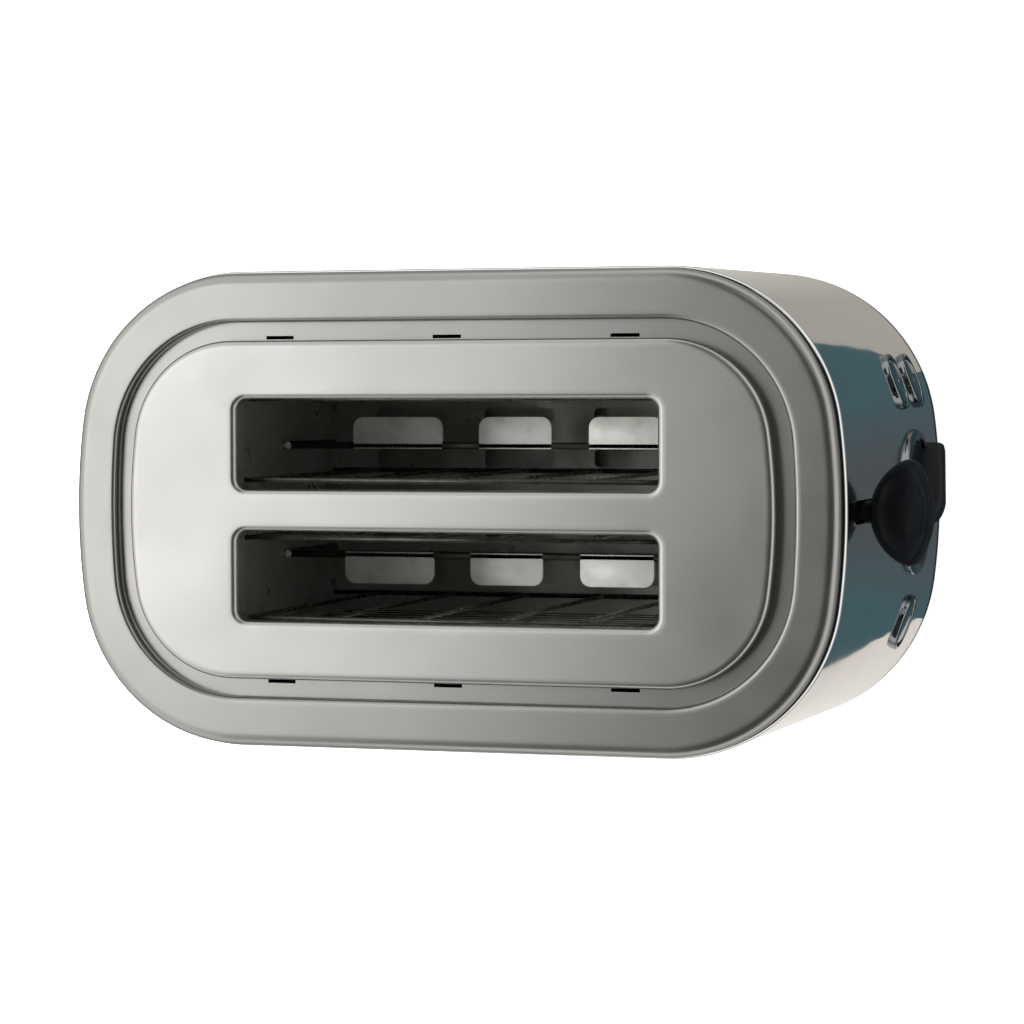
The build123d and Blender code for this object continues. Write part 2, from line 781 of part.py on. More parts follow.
# Return spring: one wire round the guide rod, between the plate's boss and the bush
coil_low = spring_z + spring_wire_radius
coil_height = bush_low - spring_z - 2 * spring_wire_radius
coil_pitch = coil_height / spring_turns


def coil_point(half_turns):
    """A point on the spring's centre line, after so many half turns."""
    angle = radians(180 * half_turns)
    return (
        casing_x + rod_x + spring_mean_radius * cos(angle),
        rod_y + spring_mean_radius * sin(angle),
        coil_low + coil_pitch * half_turns / 2,
    )


with BuildPart() as return_spring:
    with BuildLine() as coil:
        for half in range(2 * spring_turns):
            ThreePointArc(coil_point(half), coil_point(half + 0.5), coil_point(half + 1))
    with BuildSketch(Plane(origin=coil_point(0), x_dir=(1, 0, 0), z_dir=coil.line % 0)):
        Circle(spring_wire_radius)
    sweep(path=coil.line)
return_spring.part.label = "return_spring"
export_step(return_spring.part, "parts/return_spring.step")
print("return spring, gap between turns", round(coil_pitch - 2 * spring_wire_radius, 2))

# Lever arm: the flat stalk from the carriage out through the wall's slot
with BuildPart() as lever_arm:
    with BuildSketch(end_on(carriage_face)):
        with Locations((0, arm_low + arm_height / 2)):
            Rectangle(2 * arm_half_thickness, arm_height)
    extrude(amount=knob_back + arm_grip - carriage_face)
lever_arm.part.label = "lever_arm"
export_step(lever_arm.part, "parts/lever_arm.step")


def knob_plan(inset, z):
    """The lever knob's outline, two arcs that meet in round corners, drawn in evenly, as a face at height z."""
    with BuildSketch(level(z)) as drawn:
        with Locations((knob_back + knob_back_radius, 0)):
            Circle(knob_back_radius - inset)
        with Locations((knob_front - knob_front_radius, 0)):
            Circle(knob_front_radius - inset, mode=Mode.INTERSECT)
        fillet(drawn.vertices(), knob_corner_radius - inset)
    return drawn.sketch.face()


# Lever knob: a D-shaped push pad with a dished top and a neck, pressed over the arm's end
with BuildPart() as lever_knob:
    lift(knob_plan(0, knob_low), knob_height)
    fillet(lever_knob.faces().sort_by(Axis.Z)[0].edges(), knob_round)
    lift(knob_plan(knob_rim, knob_low + knob_height - knob_dish_depth), knob_dish_depth, Mode.SUBTRACT)
    fillet(lever_knob.faces().sort_by(Axis.Z)[-1].edges(), knob_rim_round)
    with BuildSketch(end_on(knob_neck_start)):
        with Locations((0, arm_low + arm_height / 2)):
            Rectangle(2 * knob_neck_half_width, arm_height + 2 * knob_neck_margin)
    extrude(amount=knob_neck_end - knob_neck_start)
    add(lever_arm.part, mode=Mode.SUBTRACT)
lever_knob.part.label = "lever_knob"
export_step(lever_knob.part, "parts/lever_knob.step")

# Electromagnet: the coil that holds the carriage down, standing on the base plate
magnet_x = carriage_face + magnet_coil_radius + magnet_clear
with BuildPart() as electromagnet:
    with BuildSketch(level(plate_level)):
        with Locations((magnet_x, magnet_y)):
            Circle(magnet_coil_radius)
    extrude(amount=magnet_cheek)
    with BuildSketch(level(plate_level + magnet_cheek)):
        with Locations((magnet_x, magnet_y)):
            Circle(magnet_coil_radius - magnet_winding_inset)
    extrude(amount=magnet_height - 2 * magnet_cheek)
    with BuildSketch(level(plate_level + magnet_height - magnet_cheek)):
        with Locations((magnet_x, magnet_y)):
            Circle(magnet_coil_radius)
    extrude(amount=magnet_cheek)
    with BuildSketch(level(plate_level + magnet_height)):
        with Locations((magnet_x, magnet_y)):
            Circle(magnet_core_radius)
    extrude(amount=magnet_core_rise)
electromagnet.part.label = "electromagnet"
export_step(electromagnet.part, "parts/electromagnet.step")

# Armature: the plate on the carriage that meets the magnet's core at the bottom
armature_z = plate_level + magnet_height + magnet_core_rise + armature_gap + lever_travel
with BuildPart() as armature:
    with BuildSketch(level(armature_z)):
        armature_reach = 2 * magnet_coil_radius + magnet_clear
        with Locations((carriage_face + armature_reach / 2, magnet_y)):
            Rectangle(armature_reach, 2 * magnet_coil_radius)
    extrude(amount=armature_thickness)
armature.part.label = "armature"
export_step(armature.part, "parts/armature.step")

# Dial bezel: a half-round ring seated on the wall, with a sleeve and a floor behind it
dial_x = wall_plane(0, dial_z).origin.X - casing_x
dial_axis = Axis((casing_x, 0, dial_z), (1, 0, 0))
sleeve_back = dial_x - dial_sleeve_depth
with BuildPart() as dial_bezel:
    ring_half = (dial_ring_radius - dial_ring_inner) / 2
    with BuildSketch(side_on(0)):
        with Locations((dial_x + dial_ring_crest - ring_half, dial_z + dial_ring_radius - ring_half)):
            Circle(ring_half)
            Rectangle(dial_ring_root, 2 * ring_half, align=(Align.MAX, Align.CENTER))
    revolve(axis=dial_axis)
    add(wrap_block(0), mode=Mode.SUBTRACT)
    with BuildSketch(end_on(sleeve_back)):
        with Locations((0, dial_z)):
            Circle(dial_ring_inner + dial_sleeve_wall)
            Circle(dial_ring_inner, mode=Mode.SUBTRACT)
    extrude(amount=dial_sleeve_depth)
    with BuildSketch(end_on(sleeve_back - sheet)):
        with Locations((0, dial_z)):
            Circle(dial_ring_inner + dial_sleeve_wall)
            Circle(dial_shaft_radius + running_fit, mode=Mode.SUBTRACT)
    extrude(amount=sheet)
dial_bezel.part.label = "dial_bezel"
export_step(dial_bezel.part, "parts/dial_bezel.step")

# Dial knob: a disc set into the ring, with a pointer grip that reaches out over it
grip_turn = radians(grip_angle)
grip_side = Plane(
    origin=(casing_x, 0, dial_z),
    x_dir=(0, cos(grip_turn), sin(grip_turn)),
    z_dir=(0, sin(grip_turn), -cos(grip_turn)),
)
with BuildPart() as dial_knob:
    with BuildSketch(grip_side.offset(-grip_thickness / 2)):
        grip_foot = dial_x + dial_ring_crest + loose_fit
        with BuildLine():
            Polyline(
                (-grip_root, dial_x),
                (-grip_root, dial_x + grip_root_height),
                (grip_tip, dial_x + grip_tip_height),
                (grip_tip, grip_foot),
                (dial_disc_radius - grip_overlap, grip_foot),
                (dial_disc_radius - grip_overlap, dial_x),
                close=True,
            )
        make_face()
    extrude(amount=grip_thickness)
    outward = grip_side.x_dir
    fillet(dial_knob.edges().filter_by(Axis.X).group_by(Axis(grip_side.origin, outward))[0], grip_root_round)
    fillet(dial_knob.faces().sort_by(Axis.X)[-1].edges(), grip_round)
    with BuildSketch(end_on(dial_x + dial_disc_proud - dial_disc_thickness)):
        with Locations((0, dial_z)):
            Circle(dial_disc_radius)
    extrude(amount=dial_disc_thickness)
dial_knob.part.label = "dial_knob"
export_step(dial_knob.part, "parts/dial_knob.step")

# Dial shaft: from the knob's back, through the bezel's floor, into the control
knob_back_x = dial_x + dial_disc_proud - dial_disc_thickness
pot_face = board_x + board_sheet + pot_depth
with BuildPart() as dial_shaft:
    with BuildSketch(end_on(pot_face - pot_depth / 2)):
        with Locations((0, dial_z)):
            Circle(dial_shaft_radius)
    extrude(amount=knob_back_x - pot_face + pot_depth / 2)
dial_shaft.part.label = "dial_shaft"
export_step(dial_shaft.part, "parts/dial_shaft.step")

# Dial control: the round variable resistor on the circuit board
with BuildPart() as dial_control:
    with BuildSketch(end_on(board_x + board_sheet)):
        with Locations((0, dial_z)):
            Circle(pot_radius)
    extrude(amount=pot_depth)
    with BuildSketch(end_on(pot_face - pot_depth / 2 - loose_fit)):
        with Locations((0, dial_z)):
            Circle(dial_shaft_radius + running_fit)
    extrude(amount=pot_depth, mode=Mode.SUBTRACT)
dial_control.part.label = "dial_control"
export_step(dial_control.part, "parts/dial_control.step")

# Push buttons: a bezel ring and sleeve, a cap on a stem, and a switch on the board for each
for number, place in enumerate(button_places, start=1):
    face = wall_plane(*place)
    with BuildPart() as button_bezel:
        with BuildSketch(face.offset(-stem_radius)):
            Circle(bezel_radius)
            Circle(bezel_inner, mode=Mode.SUBTRACT)
        extrude(amount=stem_radius + bezel_crest)
        outward = Axis(face.origin, face.z_dir)
        fillet(button_bezel.faces().filter_by(outward).sort_by(outward)[-1].edges(), bezel_round)
        add(wrap_block(0), mode=Mode.SUBTRACT)
        with BuildSketch(face.offset(-bezel_sleeve_depth)):
            Circle(bezel_inner + sheet)
            Circle(bezel_inner, mode=Mode.SUBTRACT)
        extrude(amount=bezel_sleeve_depth + sheet)
        with BuildSketch(face.offset(-bezel_sleeve_depth - sheet)):
            Circle(bezel_inner + sheet)
            Circle(stem_radius + loose_fit, mode=Mode.SUBTRACT)
        extrude(amount=sheet)
    button_bezel.part.label = f"button_bezel_{number}"
    export_step(button_bezel.part, f"parts/button_bezel_{number}.step")
    switch_x = (board_x + board_sheet + switch_depth - face.origin.X + casing_x) / face.z_dir.X
    with BuildPart() as button:
        with BuildSketch(face.offset(cap_proud - cap_thickness)):
            Circle(cap_radius)
        extrude(amount=cap_thickness)
        fillet(button.faces().sort_by(outward)[-1].edges(), cap_round)
        with BuildSketch(face.offset(cap_proud - dot_depth)):
            Circle(dot_radius)
        extrude(amount=dot_depth, mode=Mode.SUBTRACT)
        with BuildSketch(face.offset(switch_x - switch_bore_depth + button_travel + loose_fit)):
            Circle(stem_radius)
        extrude(amount=cap_proud - cap_thickness - switch_x + switch_bore_depth - button_travel - loose_fit)
    button.part.label = f"button_{number}"
    export_step(button.part, f"parts/button_{number}.step")
    with BuildPart() as button_switch:
        with BuildSketch(face.offset(switch_x - switch_depth - switch_foot)):
            Rectangle(switch_size, switch_size)
        extrude(amount=switch_depth + switch_foot)
        with BuildSketch(face.offset(switch_x - switch_bore_depth)):
            Circle(stem_radius + loose_fit)
        extrude(amount=switch_depth, mode=Mode.SUBTRACT)
        with BuildSketch(end_on(board_x - switch_size)):
            with Locations((0, (board_low + board_high) / 2)):
                Rectangle(4 * board_half_width, 2 * (board_high - board_low))
        extrude(amount=switch_size + board_sheet, mode=Mode.SUBTRACT)
    button_switch.part.label = f"button_switch_{number}"
    export_step(button_switch.part, f"parts/button_switch_{number}.step")

# Circuit board: upright behind the controls, on two posts that stand on the base plate
with BuildPart() as circuit_board:
    with BuildSketch(end_on(board_x)):
        with Locations((0, (board_low + board_high) / 2)):
            Rectangle(2 * board_half_width, board_high - board_low)
    extrude(amount=board_sheet)
circuit_board.part.label = "circuit_board"
export_step(circuit_board.part, "parts/circuit_board.step")

with BuildPart() as board_posts:
    for side in (-1, 1):
        with BuildSketch(level(plate_level)):
            with Locations((board_x + board_sheet / 2, side * (board_half_width - post_inset))):
                Rectangle(post_thickness, post_width)
        extrude(amount=board_low + post_rise - plate_level)
    with BuildSketch(end_on(board_x)):
        with Locations((0, (board_low + board_high) / 2)):
            Rectangle(2 * board_half_width, board_high - board_low)
    extrude(amount=board_sheet, mode=Mode.SUBTRACT)
board_posts.part.label = "board_posts"
export_step(board_posts.part, "parts/board_posts.step")

# Crumb tray: a shallow pan on the rails, drawn out through the notch in the back wall
with BuildPart() as crumb_tray:
    with BuildSketch(level(tray_z)):
        with Locations(((tray_front_x - tray_back_x) / 2, 0)):
            RectangleRounded(tray_front_x + tray_back_x, 2 * tray_half_width, tray_corner)
    extrude(amount=tray_wall)
    offset(amount=-tray_sheet, openings=crumb_tray.faces().sort_by(Axis.Z)[-1])
crumb_tray.part.label = "crumb_tray"
export_step(crumb_tray.part, "parts/crumb_tray.step")

# Tray handle: a front that fills the notch flush with the wall, and a finger lip below
with BuildPart() as tray_handle:
    with BuildSketch(level(tray_z)):
        with Locations((-tray_back_x, 0)):
            Rectangle(wrap_reach, 2 * tray_half_width, align=(Align.MAX, Align.CENTER))
    extrude(amount=tray_wall)
    add(wrap_block(0), mode=Mode.INTERSECT)
    with BuildSketch(level(tray_z)):
        with Locations((-tray_back_x, 0)):
            lip = Rectangle(tray_reach - tray_back_x, 2 * tray_lip_half_width, align=(Align.MAX, Align.CENTER))
        fillet(lip.vertices().group_by(Axis.X)[0], tray_lip_round)
    extrude(amount=tray_lip_thickness)
tray_handle.part.label = "tray_handle"
export_step(tray_handle.part, "parts/tray_handle.step")

# Cord inlet: the round bushing in the back wall that the supply cord would pass through
inlet_face = wall_plane(0, inlet_z, end=-1)
with BuildPart() as cord_inlet:
    with BuildSketch(inlet_face.offset(-inlet_flange)):
        Circle(inlet_radius)
    extrude(amount=2 * inlet_flange)
    fillet(cord_inlet.faces().sort_by(Axis.X)[0].edges(), inlet_round)
    add(wrap_block(0), mode=Mode.SUBTRACT)
    with BuildSketch(inlet_face.offset(-inlet_neck)):
        Circle(inlet_neck_radius)
    extrude(amount=inlet_neck + inlet_flange / 2)
    with BuildSketch(inlet_face.offset(-inlet_neck)):
        Circle(inlet_bore)
    extrude(amount=inlet_neck + 2 * inlet_flange, mode=Mode.SUBTRACT)
cord_inlet.part.label = "cord_inlet"
export_step(cord_inlet.part, "parts/cord_inlet.step")

# Terminal block: where the supply meets the toaster's own wiring, on the back frame
with BuildPart() as terminal_block:
    with BuildSketch(end_on(-frame_outer - terminal_depth)):
        with Locations((0, inlet_z)):
            Rectangle(terminal_width, terminal_height)
    extrude(amount=terminal_depth)
    with BuildSketch(end_on(-frame_outer - terminal_depth)):
        with Locations((0, inlet_z)):
            with GridLocations(terminal_width / terminal_ways, 0, terminal_ways, 1):
                Circle(terminal_bore)
    extrude(amount=terminal_bore_depth, mode=Mode.SUBTRACT)
terminal_block.part.label = "terminal_block"
export_step(terminal_block.part, "parts/terminal_block.step")
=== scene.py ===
# %% [markdown]
# # A two-slice toaster, seen from above
# The real object is a band of polished steel round a chassis, closed by a satin steel lid with two bread slots.
# Its controls sit in one bowed end wall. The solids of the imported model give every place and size, and this
# lesson adds the surfaces: the finishes, the soft edges, the light and the camera.

import bpy
import json
from math import asin, atan2, cos, radians, sin, sqrt
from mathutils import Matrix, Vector


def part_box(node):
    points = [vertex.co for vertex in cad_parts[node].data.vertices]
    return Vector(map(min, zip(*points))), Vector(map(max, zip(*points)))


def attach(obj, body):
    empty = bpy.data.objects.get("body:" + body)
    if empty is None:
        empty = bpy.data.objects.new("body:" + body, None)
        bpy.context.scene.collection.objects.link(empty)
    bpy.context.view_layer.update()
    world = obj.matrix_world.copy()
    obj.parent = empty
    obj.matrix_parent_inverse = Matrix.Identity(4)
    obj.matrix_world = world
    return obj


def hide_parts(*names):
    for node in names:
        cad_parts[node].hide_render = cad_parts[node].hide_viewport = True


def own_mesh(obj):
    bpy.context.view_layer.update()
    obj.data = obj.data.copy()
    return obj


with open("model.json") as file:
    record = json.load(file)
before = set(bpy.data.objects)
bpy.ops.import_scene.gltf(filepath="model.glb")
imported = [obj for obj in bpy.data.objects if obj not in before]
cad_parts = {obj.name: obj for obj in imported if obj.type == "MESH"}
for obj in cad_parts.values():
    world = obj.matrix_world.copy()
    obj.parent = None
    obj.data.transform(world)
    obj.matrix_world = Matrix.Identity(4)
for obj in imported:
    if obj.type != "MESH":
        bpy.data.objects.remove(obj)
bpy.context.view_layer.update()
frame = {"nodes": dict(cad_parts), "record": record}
mm = 0.001
rim_low, rim_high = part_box("top_rim")
casing_x = (rim_low[0] + rim_high[0]) / 2

# %% [markdown]
# ## The camera
# The photograph was taken from above, a little beyond the control end, with a long lens. A long lens far away
# keeps the rim's sides nearly parallel. The place and turn below make the rim and the base fall where they do
# in the photograph.

# %% Camera
view_data = bpy.data.cameras.new("photo_camera")
view_data.lens = 110.632
view_data.sensor_width = 36.0
view_data.clip_end = 20.0
camera = bpy.data.objects.new("photo_camera", view_data)
camera.location = (casing_x + 0.33088, 0.040852, 1.184947)
camera.rotation_euler = (radians(-2.26804), radians(17.00759), radians(-0.15872))
bpy.context.scene.collection.objects.link(camera)
bpy.context.scene.camera = camera
print("camera at", tuple(camera.location))

# %% [markdown]
# ## How a finish is made
# Every finish is a Principled shader whose colour, roughness and small relief come from noise. The noise reads
# Object coordinates, which are the toaster's own metres here, so a grain of half a millimetre is written as
# 0.0005 and keeps its size on every piece. Image textures could do this too, but they would need files and would
# blur close up. The sizes of the noise and the depths of the relief below are in metres.

# %% A finish and its noise
def new_finish(name, colour, metallic, roughness, shine=None):
    """A material with its shader's plain values set; the shine is the strength of a plastic's reflection."""
    finish = bpy.data.materials.new(name)
    finish.use_nodes = True
    shader = finish.node_tree.nodes["Principled BSDF"]
    shader.inputs["Base Color"].default_value = (*colour, 1)
    shader.inputs["Metallic"].default_value = metallic
    shader.inputs["Roughness"].default_value = roughness
    if shine is not None:
        shader.inputs["Specular IOR Level"].default_value = shine
    return finish


def mottle(finish, size, stretch=(1, 1, 1), detail=3.0):
    """Noise in the object's own metres, with features of about the given size."""
    nodes, links = finish.node_tree.nodes, finish.node_tree.links
    place = nodes.get("Texture Coordinate") or nodes.new("ShaderNodeTexCoord")
    scale = nodes.new("ShaderNodeMapping")
    scale.inputs["Scale"].default_value = tuple(s / size for s in stretch)
    links.new(place.outputs["Object"], scale.inputs["Vector"])
    noise = nodes.new("ShaderNodeTexNoise")
    noise.inputs["Scale"].default_value = 1.0
    noise.inputs["Detail"].default_value = detail
    links.new(scale.outputs["Vector"], noise.inputs["Vector"])
    return noise.outputs["Fac"]


def between(finish, amount, low, high, start=0.3, end=0.7):
    """A number that runs from low to high as the noise runs from start to end."""
    span = finish.node_tree.nodes.new("ShaderNodeMapRange")
    for name, value in (("From Min", start), ("From Max", end), ("To Min", low), ("To Max", high)):
        span.inputs[name].default_value = value
    finish.node_tree.links.new(amount, span.inputs["Value"])
    return span.outputs["Result"]


print("new_finish makes a material, mottle its noise, between a range")

# %% What the noise does
def shade_roughness(finish, amount, low, high):
    """Lets the roughness follow a noise."""
    shader = finish.node_tree.nodes["Principled BSDF"]
    finish.node_tree.links.new(between(finish, amount, low, high), shader.inputs["Roughness"])


def tint(finish, amount, colour, start=0.35, end=0.75):
    """Lays a second colour over the first where the noise is high."""
    nodes, links = finish.node_tree.nodes, finish.node_tree.links
    shader = nodes["Principled BSDF"]
    blend = nodes.new("ShaderNodeMix")
    blend.data_type = "RGBA"
    links.new(between(finish, amount, 0.0, 1.0, start, end), blend.inputs["Factor"])
    base = shader.inputs["Base Color"]
    if base.is_linked:
        links.new(base.links[0].from_socket, blend.inputs["A"])
    else:
        blend.inputs["A"].default_value = base.default_value
    blend.inputs["B"].default_value = (*colour, 1)
    links.new(blend.outputs["Result"], base)


def emboss(finish, amount, depth):
    """Adds small relief, its depth in metres; a second call adds to the first."""
    nodes, links = finish.node_tree.nodes, finish.node_tree.links
    shader = nodes["Principled BSDF"]
    relief = nodes.new("ShaderNodeBump")
    relief.inputs["Distance"].default_value = depth
    if shader.inputs["Normal"].is_linked:
        links.new(shader.inputs["Normal"].links[0].from_socket, relief.inputs["Normal"])
    links.new(amount, relief.inputs["Height"])
    links.new(relief.outputs["Normal"], shader.inputs["Normal"])


print("a noise can shade the roughness, tint the colour or emboss the surface")

# %% [markdown]
# ## The steels
# The lid is blasted to a satin: a fine even grain and slightly cloudy roughness. Its rim is darker than its
# centre plate. The band is polished, with very shallow waves from rolling that bend its reflections, and a few
# wiped smudges. The chamber's sheets have been hot many times, so they are dull and grey with darker clouds. They
# and the lifters' shelves are set only partly metallic, as a dull skin scatters light and a bare metal doesn't.

# %% Steels of the outside
satin_steel = new_finish("satin_steel", (0.56, 0.55, 0.52), 1.0, 0.31)
shade_roughness(satin_steel, mottle(satin_steel, 0.035), 0.28, 0.34)
tint(satin_steel, mottle(satin_steel, 0.09), (0.525, 0.52, 0.495))
emboss(satin_steel, mottle(satin_steel, 0.0006, detail=2), 0.000012)

satin_rim_steel = new_finish("satin_rim_steel", (0.44, 0.43, 0.405), 1.0, 0.32)
shade_roughness(satin_rim_steel, mottle(satin_rim_steel, 0.035), 0.28, 0.35)
tint(satin_rim_steel, mottle(satin_rim_steel, 0.09), (0.41, 0.405, 0.385))
emboss(satin_rim_steel, mottle(satin_rim_steel, 0.0006, detail=2), 0.000012)

polished_steel = new_finish("polished_steel", (0.90, 0.89, 0.87), 1.0, 0.07)
shade_roughness(polished_steel, mottle(polished_steel, 0.03), 0.045, 0.12)
tint(polished_steel, mottle(polished_steel, 0.02), (0.85, 0.85, 0.84))
emboss(polished_steel, mottle(polished_steel, 0.05, detail=1), 0.0003)

# Painted shade: the chrome's colour is held darker than bare chrome, so its rings and caps show the dark
# surroundings that they reflect.
chrome = new_finish("chrome", (0.30, 0.31, 0.32), 1.0, 0.06)
shade_roughness(chrome, mottle(chrome, 0.006), 0.04, 0.11)
tint(chrome, mottle(chrome, 0.002), (0.25, 0.26, 0.27))

# Painted shade: the base ring's steel is held nearly black, so the base edge shows as a dark line of shadow and
# dark reflection.
painted_shade_ring_steel = new_finish("painted_shade_ring_steel", (0.10, 0.10, 0.10), 1.0, 0.22)
shade_roughness(painted_shade_ring_steel, mottle(painted_shade_ring_steel, 0.006), 0.16, 0.3)
tint(painted_shade_ring_steel, mottle(painted_shade_ring_steel, 0.003), (0.07, 0.07, 0.07))
print("steels of the outside made")

# %% Steels of the inside
sheet_steel = new_finish("sheet_steel", (0.46, 0.50, 0.475), 0.35, 0.36)
shade_roughness(sheet_steel, mottle(sheet_steel, 0.012), 0.26, 0.5)
tint(sheet_steel, mottle(sheet_steel, 0.03), (0.36, 0.37, 0.32))
emboss(sheet_steel, mottle(sheet_steel, 0.0009), 0.00002)

dark_steel = new_finish("dark_steel", (0.06, 0.065, 0.06), 1.0, 0.38)
shade_roughness(dark_steel, mottle(dark_steel, 0.008), 0.3, 0.5)
tint(dark_steel, mottle(dark_steel, 0.02), (0.09, 0.07, 0.05))

shelf_steel = new_finish("shelf_steel", (0.86, 0.87, 0.83), 0.4, 0.42)
shade_roughness(shelf_steel, mottle(shelf_steel, 0.004), 0.34, 0.5)
tint(shelf_steel, mottle(shelf_steel, 0.009), (0.66, 0.65, 0.59), 0.5, 0.8)

spring_steel = new_finish("spring_steel", (0.42, 0.42, 0.41), 1.0, 0.3)
shade_roughness(spring_steel, mottle(spring_steel, 0.003), 0.22, 0.4)
tint(spring_steel, mottle(spring_steel, 0.004), (0.3, 0.29, 0.27))

wire = new_finish("wire", (0.13, 0.135, 0.13), 0.9, 0.3)
shade_roughness(wire, mottle(wire, 0.004), 0.2, 0.42)
tint(wire, mottle(wire, 0.01), (0.08, 0.07, 0.055))

ribbon = new_finish("ribbon", (0.16, 0.15, 0.14), 1.0, 0.42)
shade_roughness(ribbon, mottle(ribbon, 0.005), 0.34, 0.55)
tint(ribbon, mottle(ribbon, 0.01), (0.09, 0.085, 0.09))
print("steels of the inside made")

# %% [markdown]
# ## Plastics, mica and the small parts
# The black mouldings carry a fine spark-eroded grain. The lever's knob is the blackest of them. The seal in the gap
# is real rubber, but it is painted nearly black and barely reflecting, as painted shade for the shadow in that gap.
# Mica board is flaky and pale, and browns where it has been hot. The rubber feet are matt and dusty.

# %% Other finishes
black_plastic = new_finish("black_plastic", (0.0045, 0.0055, 0.0075), 0.0, 0.36, shine=0.28)
shade_roughness(black_plastic, mottle(black_plastic, 0.004), 0.34, 0.48)
tint(black_plastic, mottle(black_plastic, 0.012), (0.008, 0.009, 0.011))
emboss(black_plastic, mottle(black_plastic, 0.0005, detail=2), 0.00002)

knob_plastic = new_finish("knob_plastic", (0.0025, 0.0035, 0.005), 0.0, 0.42, shine=0.14)
shade_roughness(knob_plastic, mottle(knob_plastic, 0.004), 0.36, 0.5)
tint(knob_plastic, mottle(knob_plastic, 0.012), (0.005, 0.006, 0.008))
emboss(knob_plastic, mottle(knob_plastic, 0.0005, detail=2), 0.00002)

# The seal's rubber is real, and its near-black colour with almost no reflection is also painted shade for the
# shadow in the gap below the rim.
seal_rubber_and_painted_shade = new_finish("seal_rubber_and_painted_shade", (0.003, 0.003, 0.0035), 0.0, 0.8, shine=0.05)
tint(seal_rubber_and_painted_shade, mottle(seal_rubber_and_painted_shade, 0.003), (0.008, 0.008, 0.008))
emboss(seal_rubber_and_painted_shade, mottle(seal_rubber_and_painted_shade, 0.0005), 0.00002)

rubber = new_finish("rubber", (0.022, 0.022, 0.022), 0.0, 0.75)
tint(rubber, mottle(rubber, 0.004), (0.05, 0.048, 0.045))
emboss(rubber, mottle(rubber, 0.0006), 0.00004)

nylon = new_finish("nylon", (0.62, 0.60, 0.55), 0.0, 0.45)
tint(nylon, mottle(nylon, 0.01), (0.55, 0.52, 0.45))
emboss(nylon, mottle(nylon, 0.0008), 0.00002)

mica = new_finish("mica", (0.80, 0.78, 0.72), 0.0, 0.42)
tint(mica, mottle(mica, 0.006, (1, 1, 3)), (0.55, 0.52, 0.44))
tint(mica, mottle(mica, 0.0012, detail=5), (0.86, 0.84, 0.78), 0.5, 0.8)
emboss(mica, mottle(mica, 0.0015, detail=5), 0.00005)

copper_winding = new_finish("magnet", (0.45, 0.2, 0.08), 0.9, 0.35)
tint(copper_winding, mottle(copper_winding, 0.0006, (0.1, 0.1, 3)), (0.25, 0.09, 0.03))
emboss(copper_winding, mottle(copper_winding, 0.0006, (0.1, 0.1, 3)), 0.00012)

lacquered_board = new_finish("board", (0.02, 0.10, 0.045), 0.0, 0.3)
tint(lacquered_board, mottle(lacquered_board, 0.003, (1, 2, 1), 1), (0.03, 0.16, 0.07), 0.5, 0.55)
emboss(lacquered_board, mottle(lacquered_board, 0.003, (1, 2, 1), 1), 0.00003)
print("other finishes made")

# %% [markdown]
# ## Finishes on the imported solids
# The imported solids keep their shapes, and most of the hidden works need nothing more than a good finish. Each
# node's record names its material slot, so one table from slot to finish dresses them all.

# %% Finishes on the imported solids
finish_of = {
    "satin_steel": satin_steel, "polished_steel": polished_steel, "chrome": chrome,
    "sheet_steel": sheet_steel, "dark_steel": dark_steel, "spring_steel": spring_steel,
    "wire": wire, "ribbon": ribbon, "black_plastic": black_plastic, "rubber": rubber,
    "nylon": nylon, "mica": mica, "magnet": copper_winding, "board": lacquered_board,
}
slot_of = {part["node"]: part["material_slot"] for part in frame["record"]["subparts"]}
for name, node in frame["nodes"].items():
    for place in node.material_slots:
        place.material = finish_of[slot_of[name]]
print("finishes on", len(slot_of), "nodes")

# %% [markdown]
# ## Modelling helpers
# The lid, the band and the base all follow one plan: straight sides, bowed ends and round corners. By hand this
# is made with Spin: an upright profile is drawn point by point, pulled along the straight side, spun round the
# corner's centre and spun on round the end's centre. Two mirrors finish the ring. It is exact, and one helper
# then makes every ring of the toaster. The casing's measures come first, then the helpers that every piece
# needs, then the drawing and the sweep. Other helpers stand where they are first used.

# %% Measures
# A plan outline: half length, half width, radius of the ends, radius of the corners, in mm.
rim_outline = (135.0, 80.9, 235.0, 58.1)
groove_outline = (119.9, 64.3, 314.0, 43.9)
plate_outline = (113.8, 57.9, 203.0, 36.0)
# Heights above the table, in mm.
band_low, band_high = 12.0, 174.8
groove_floor, rim_top, plate_top = 178.0, 182.5, 184.0
# Tolerances, in metres: for points to merge, for points at one level, and for lines along an axis.
weld_reach = 0.004 * mm
level_reach = 0.02 * mm
same = 0.001 * mm
print("lid", plate_top, "mm high, rim", 2 * rim_outline[0], "by", 2 * rim_outline[1], "mm")

# %% Selecting
def nothing_selected():
    """Object mode with nothing selected, so the next operator acts on its own piece alone."""
    if bpy.context.object and bpy.context.object.mode != "OBJECT":
        bpy.ops.object.mode_set(mode="OBJECT")
    bpy.ops.object.select_all(action="DESELECT")


def only(piece):
    """Makes one piece the selected and active one."""
    nothing_selected()
    piece.select_set(True)
    bpy.context.view_layer.objects.active = piece


def pick(piece, kind, test):
    """Selects the edges or faces whose corners and normal pass a test, and enters edit mode."""
    only(piece)
    bpy.ops.object.mode_set(mode="EDIT")
    bpy.ops.mesh.select_mode(type=kind)
    bpy.ops.mesh.select_all(action="DESELECT")
    bpy.ops.object.mode_set(mode="OBJECT")
    mesh = piece.data
    for item in mesh.edges if kind == "EDGE" else mesh.polygons:
        corners = [mesh.vertices[i].co for i in item.vertices]
        if test(corners, item.normal if kind == "FACE" else None):
            item.select = True
    bpy.ops.object.mode_set(mode="EDIT")


print("nothing_selected, only and pick choose what an operator acts on")

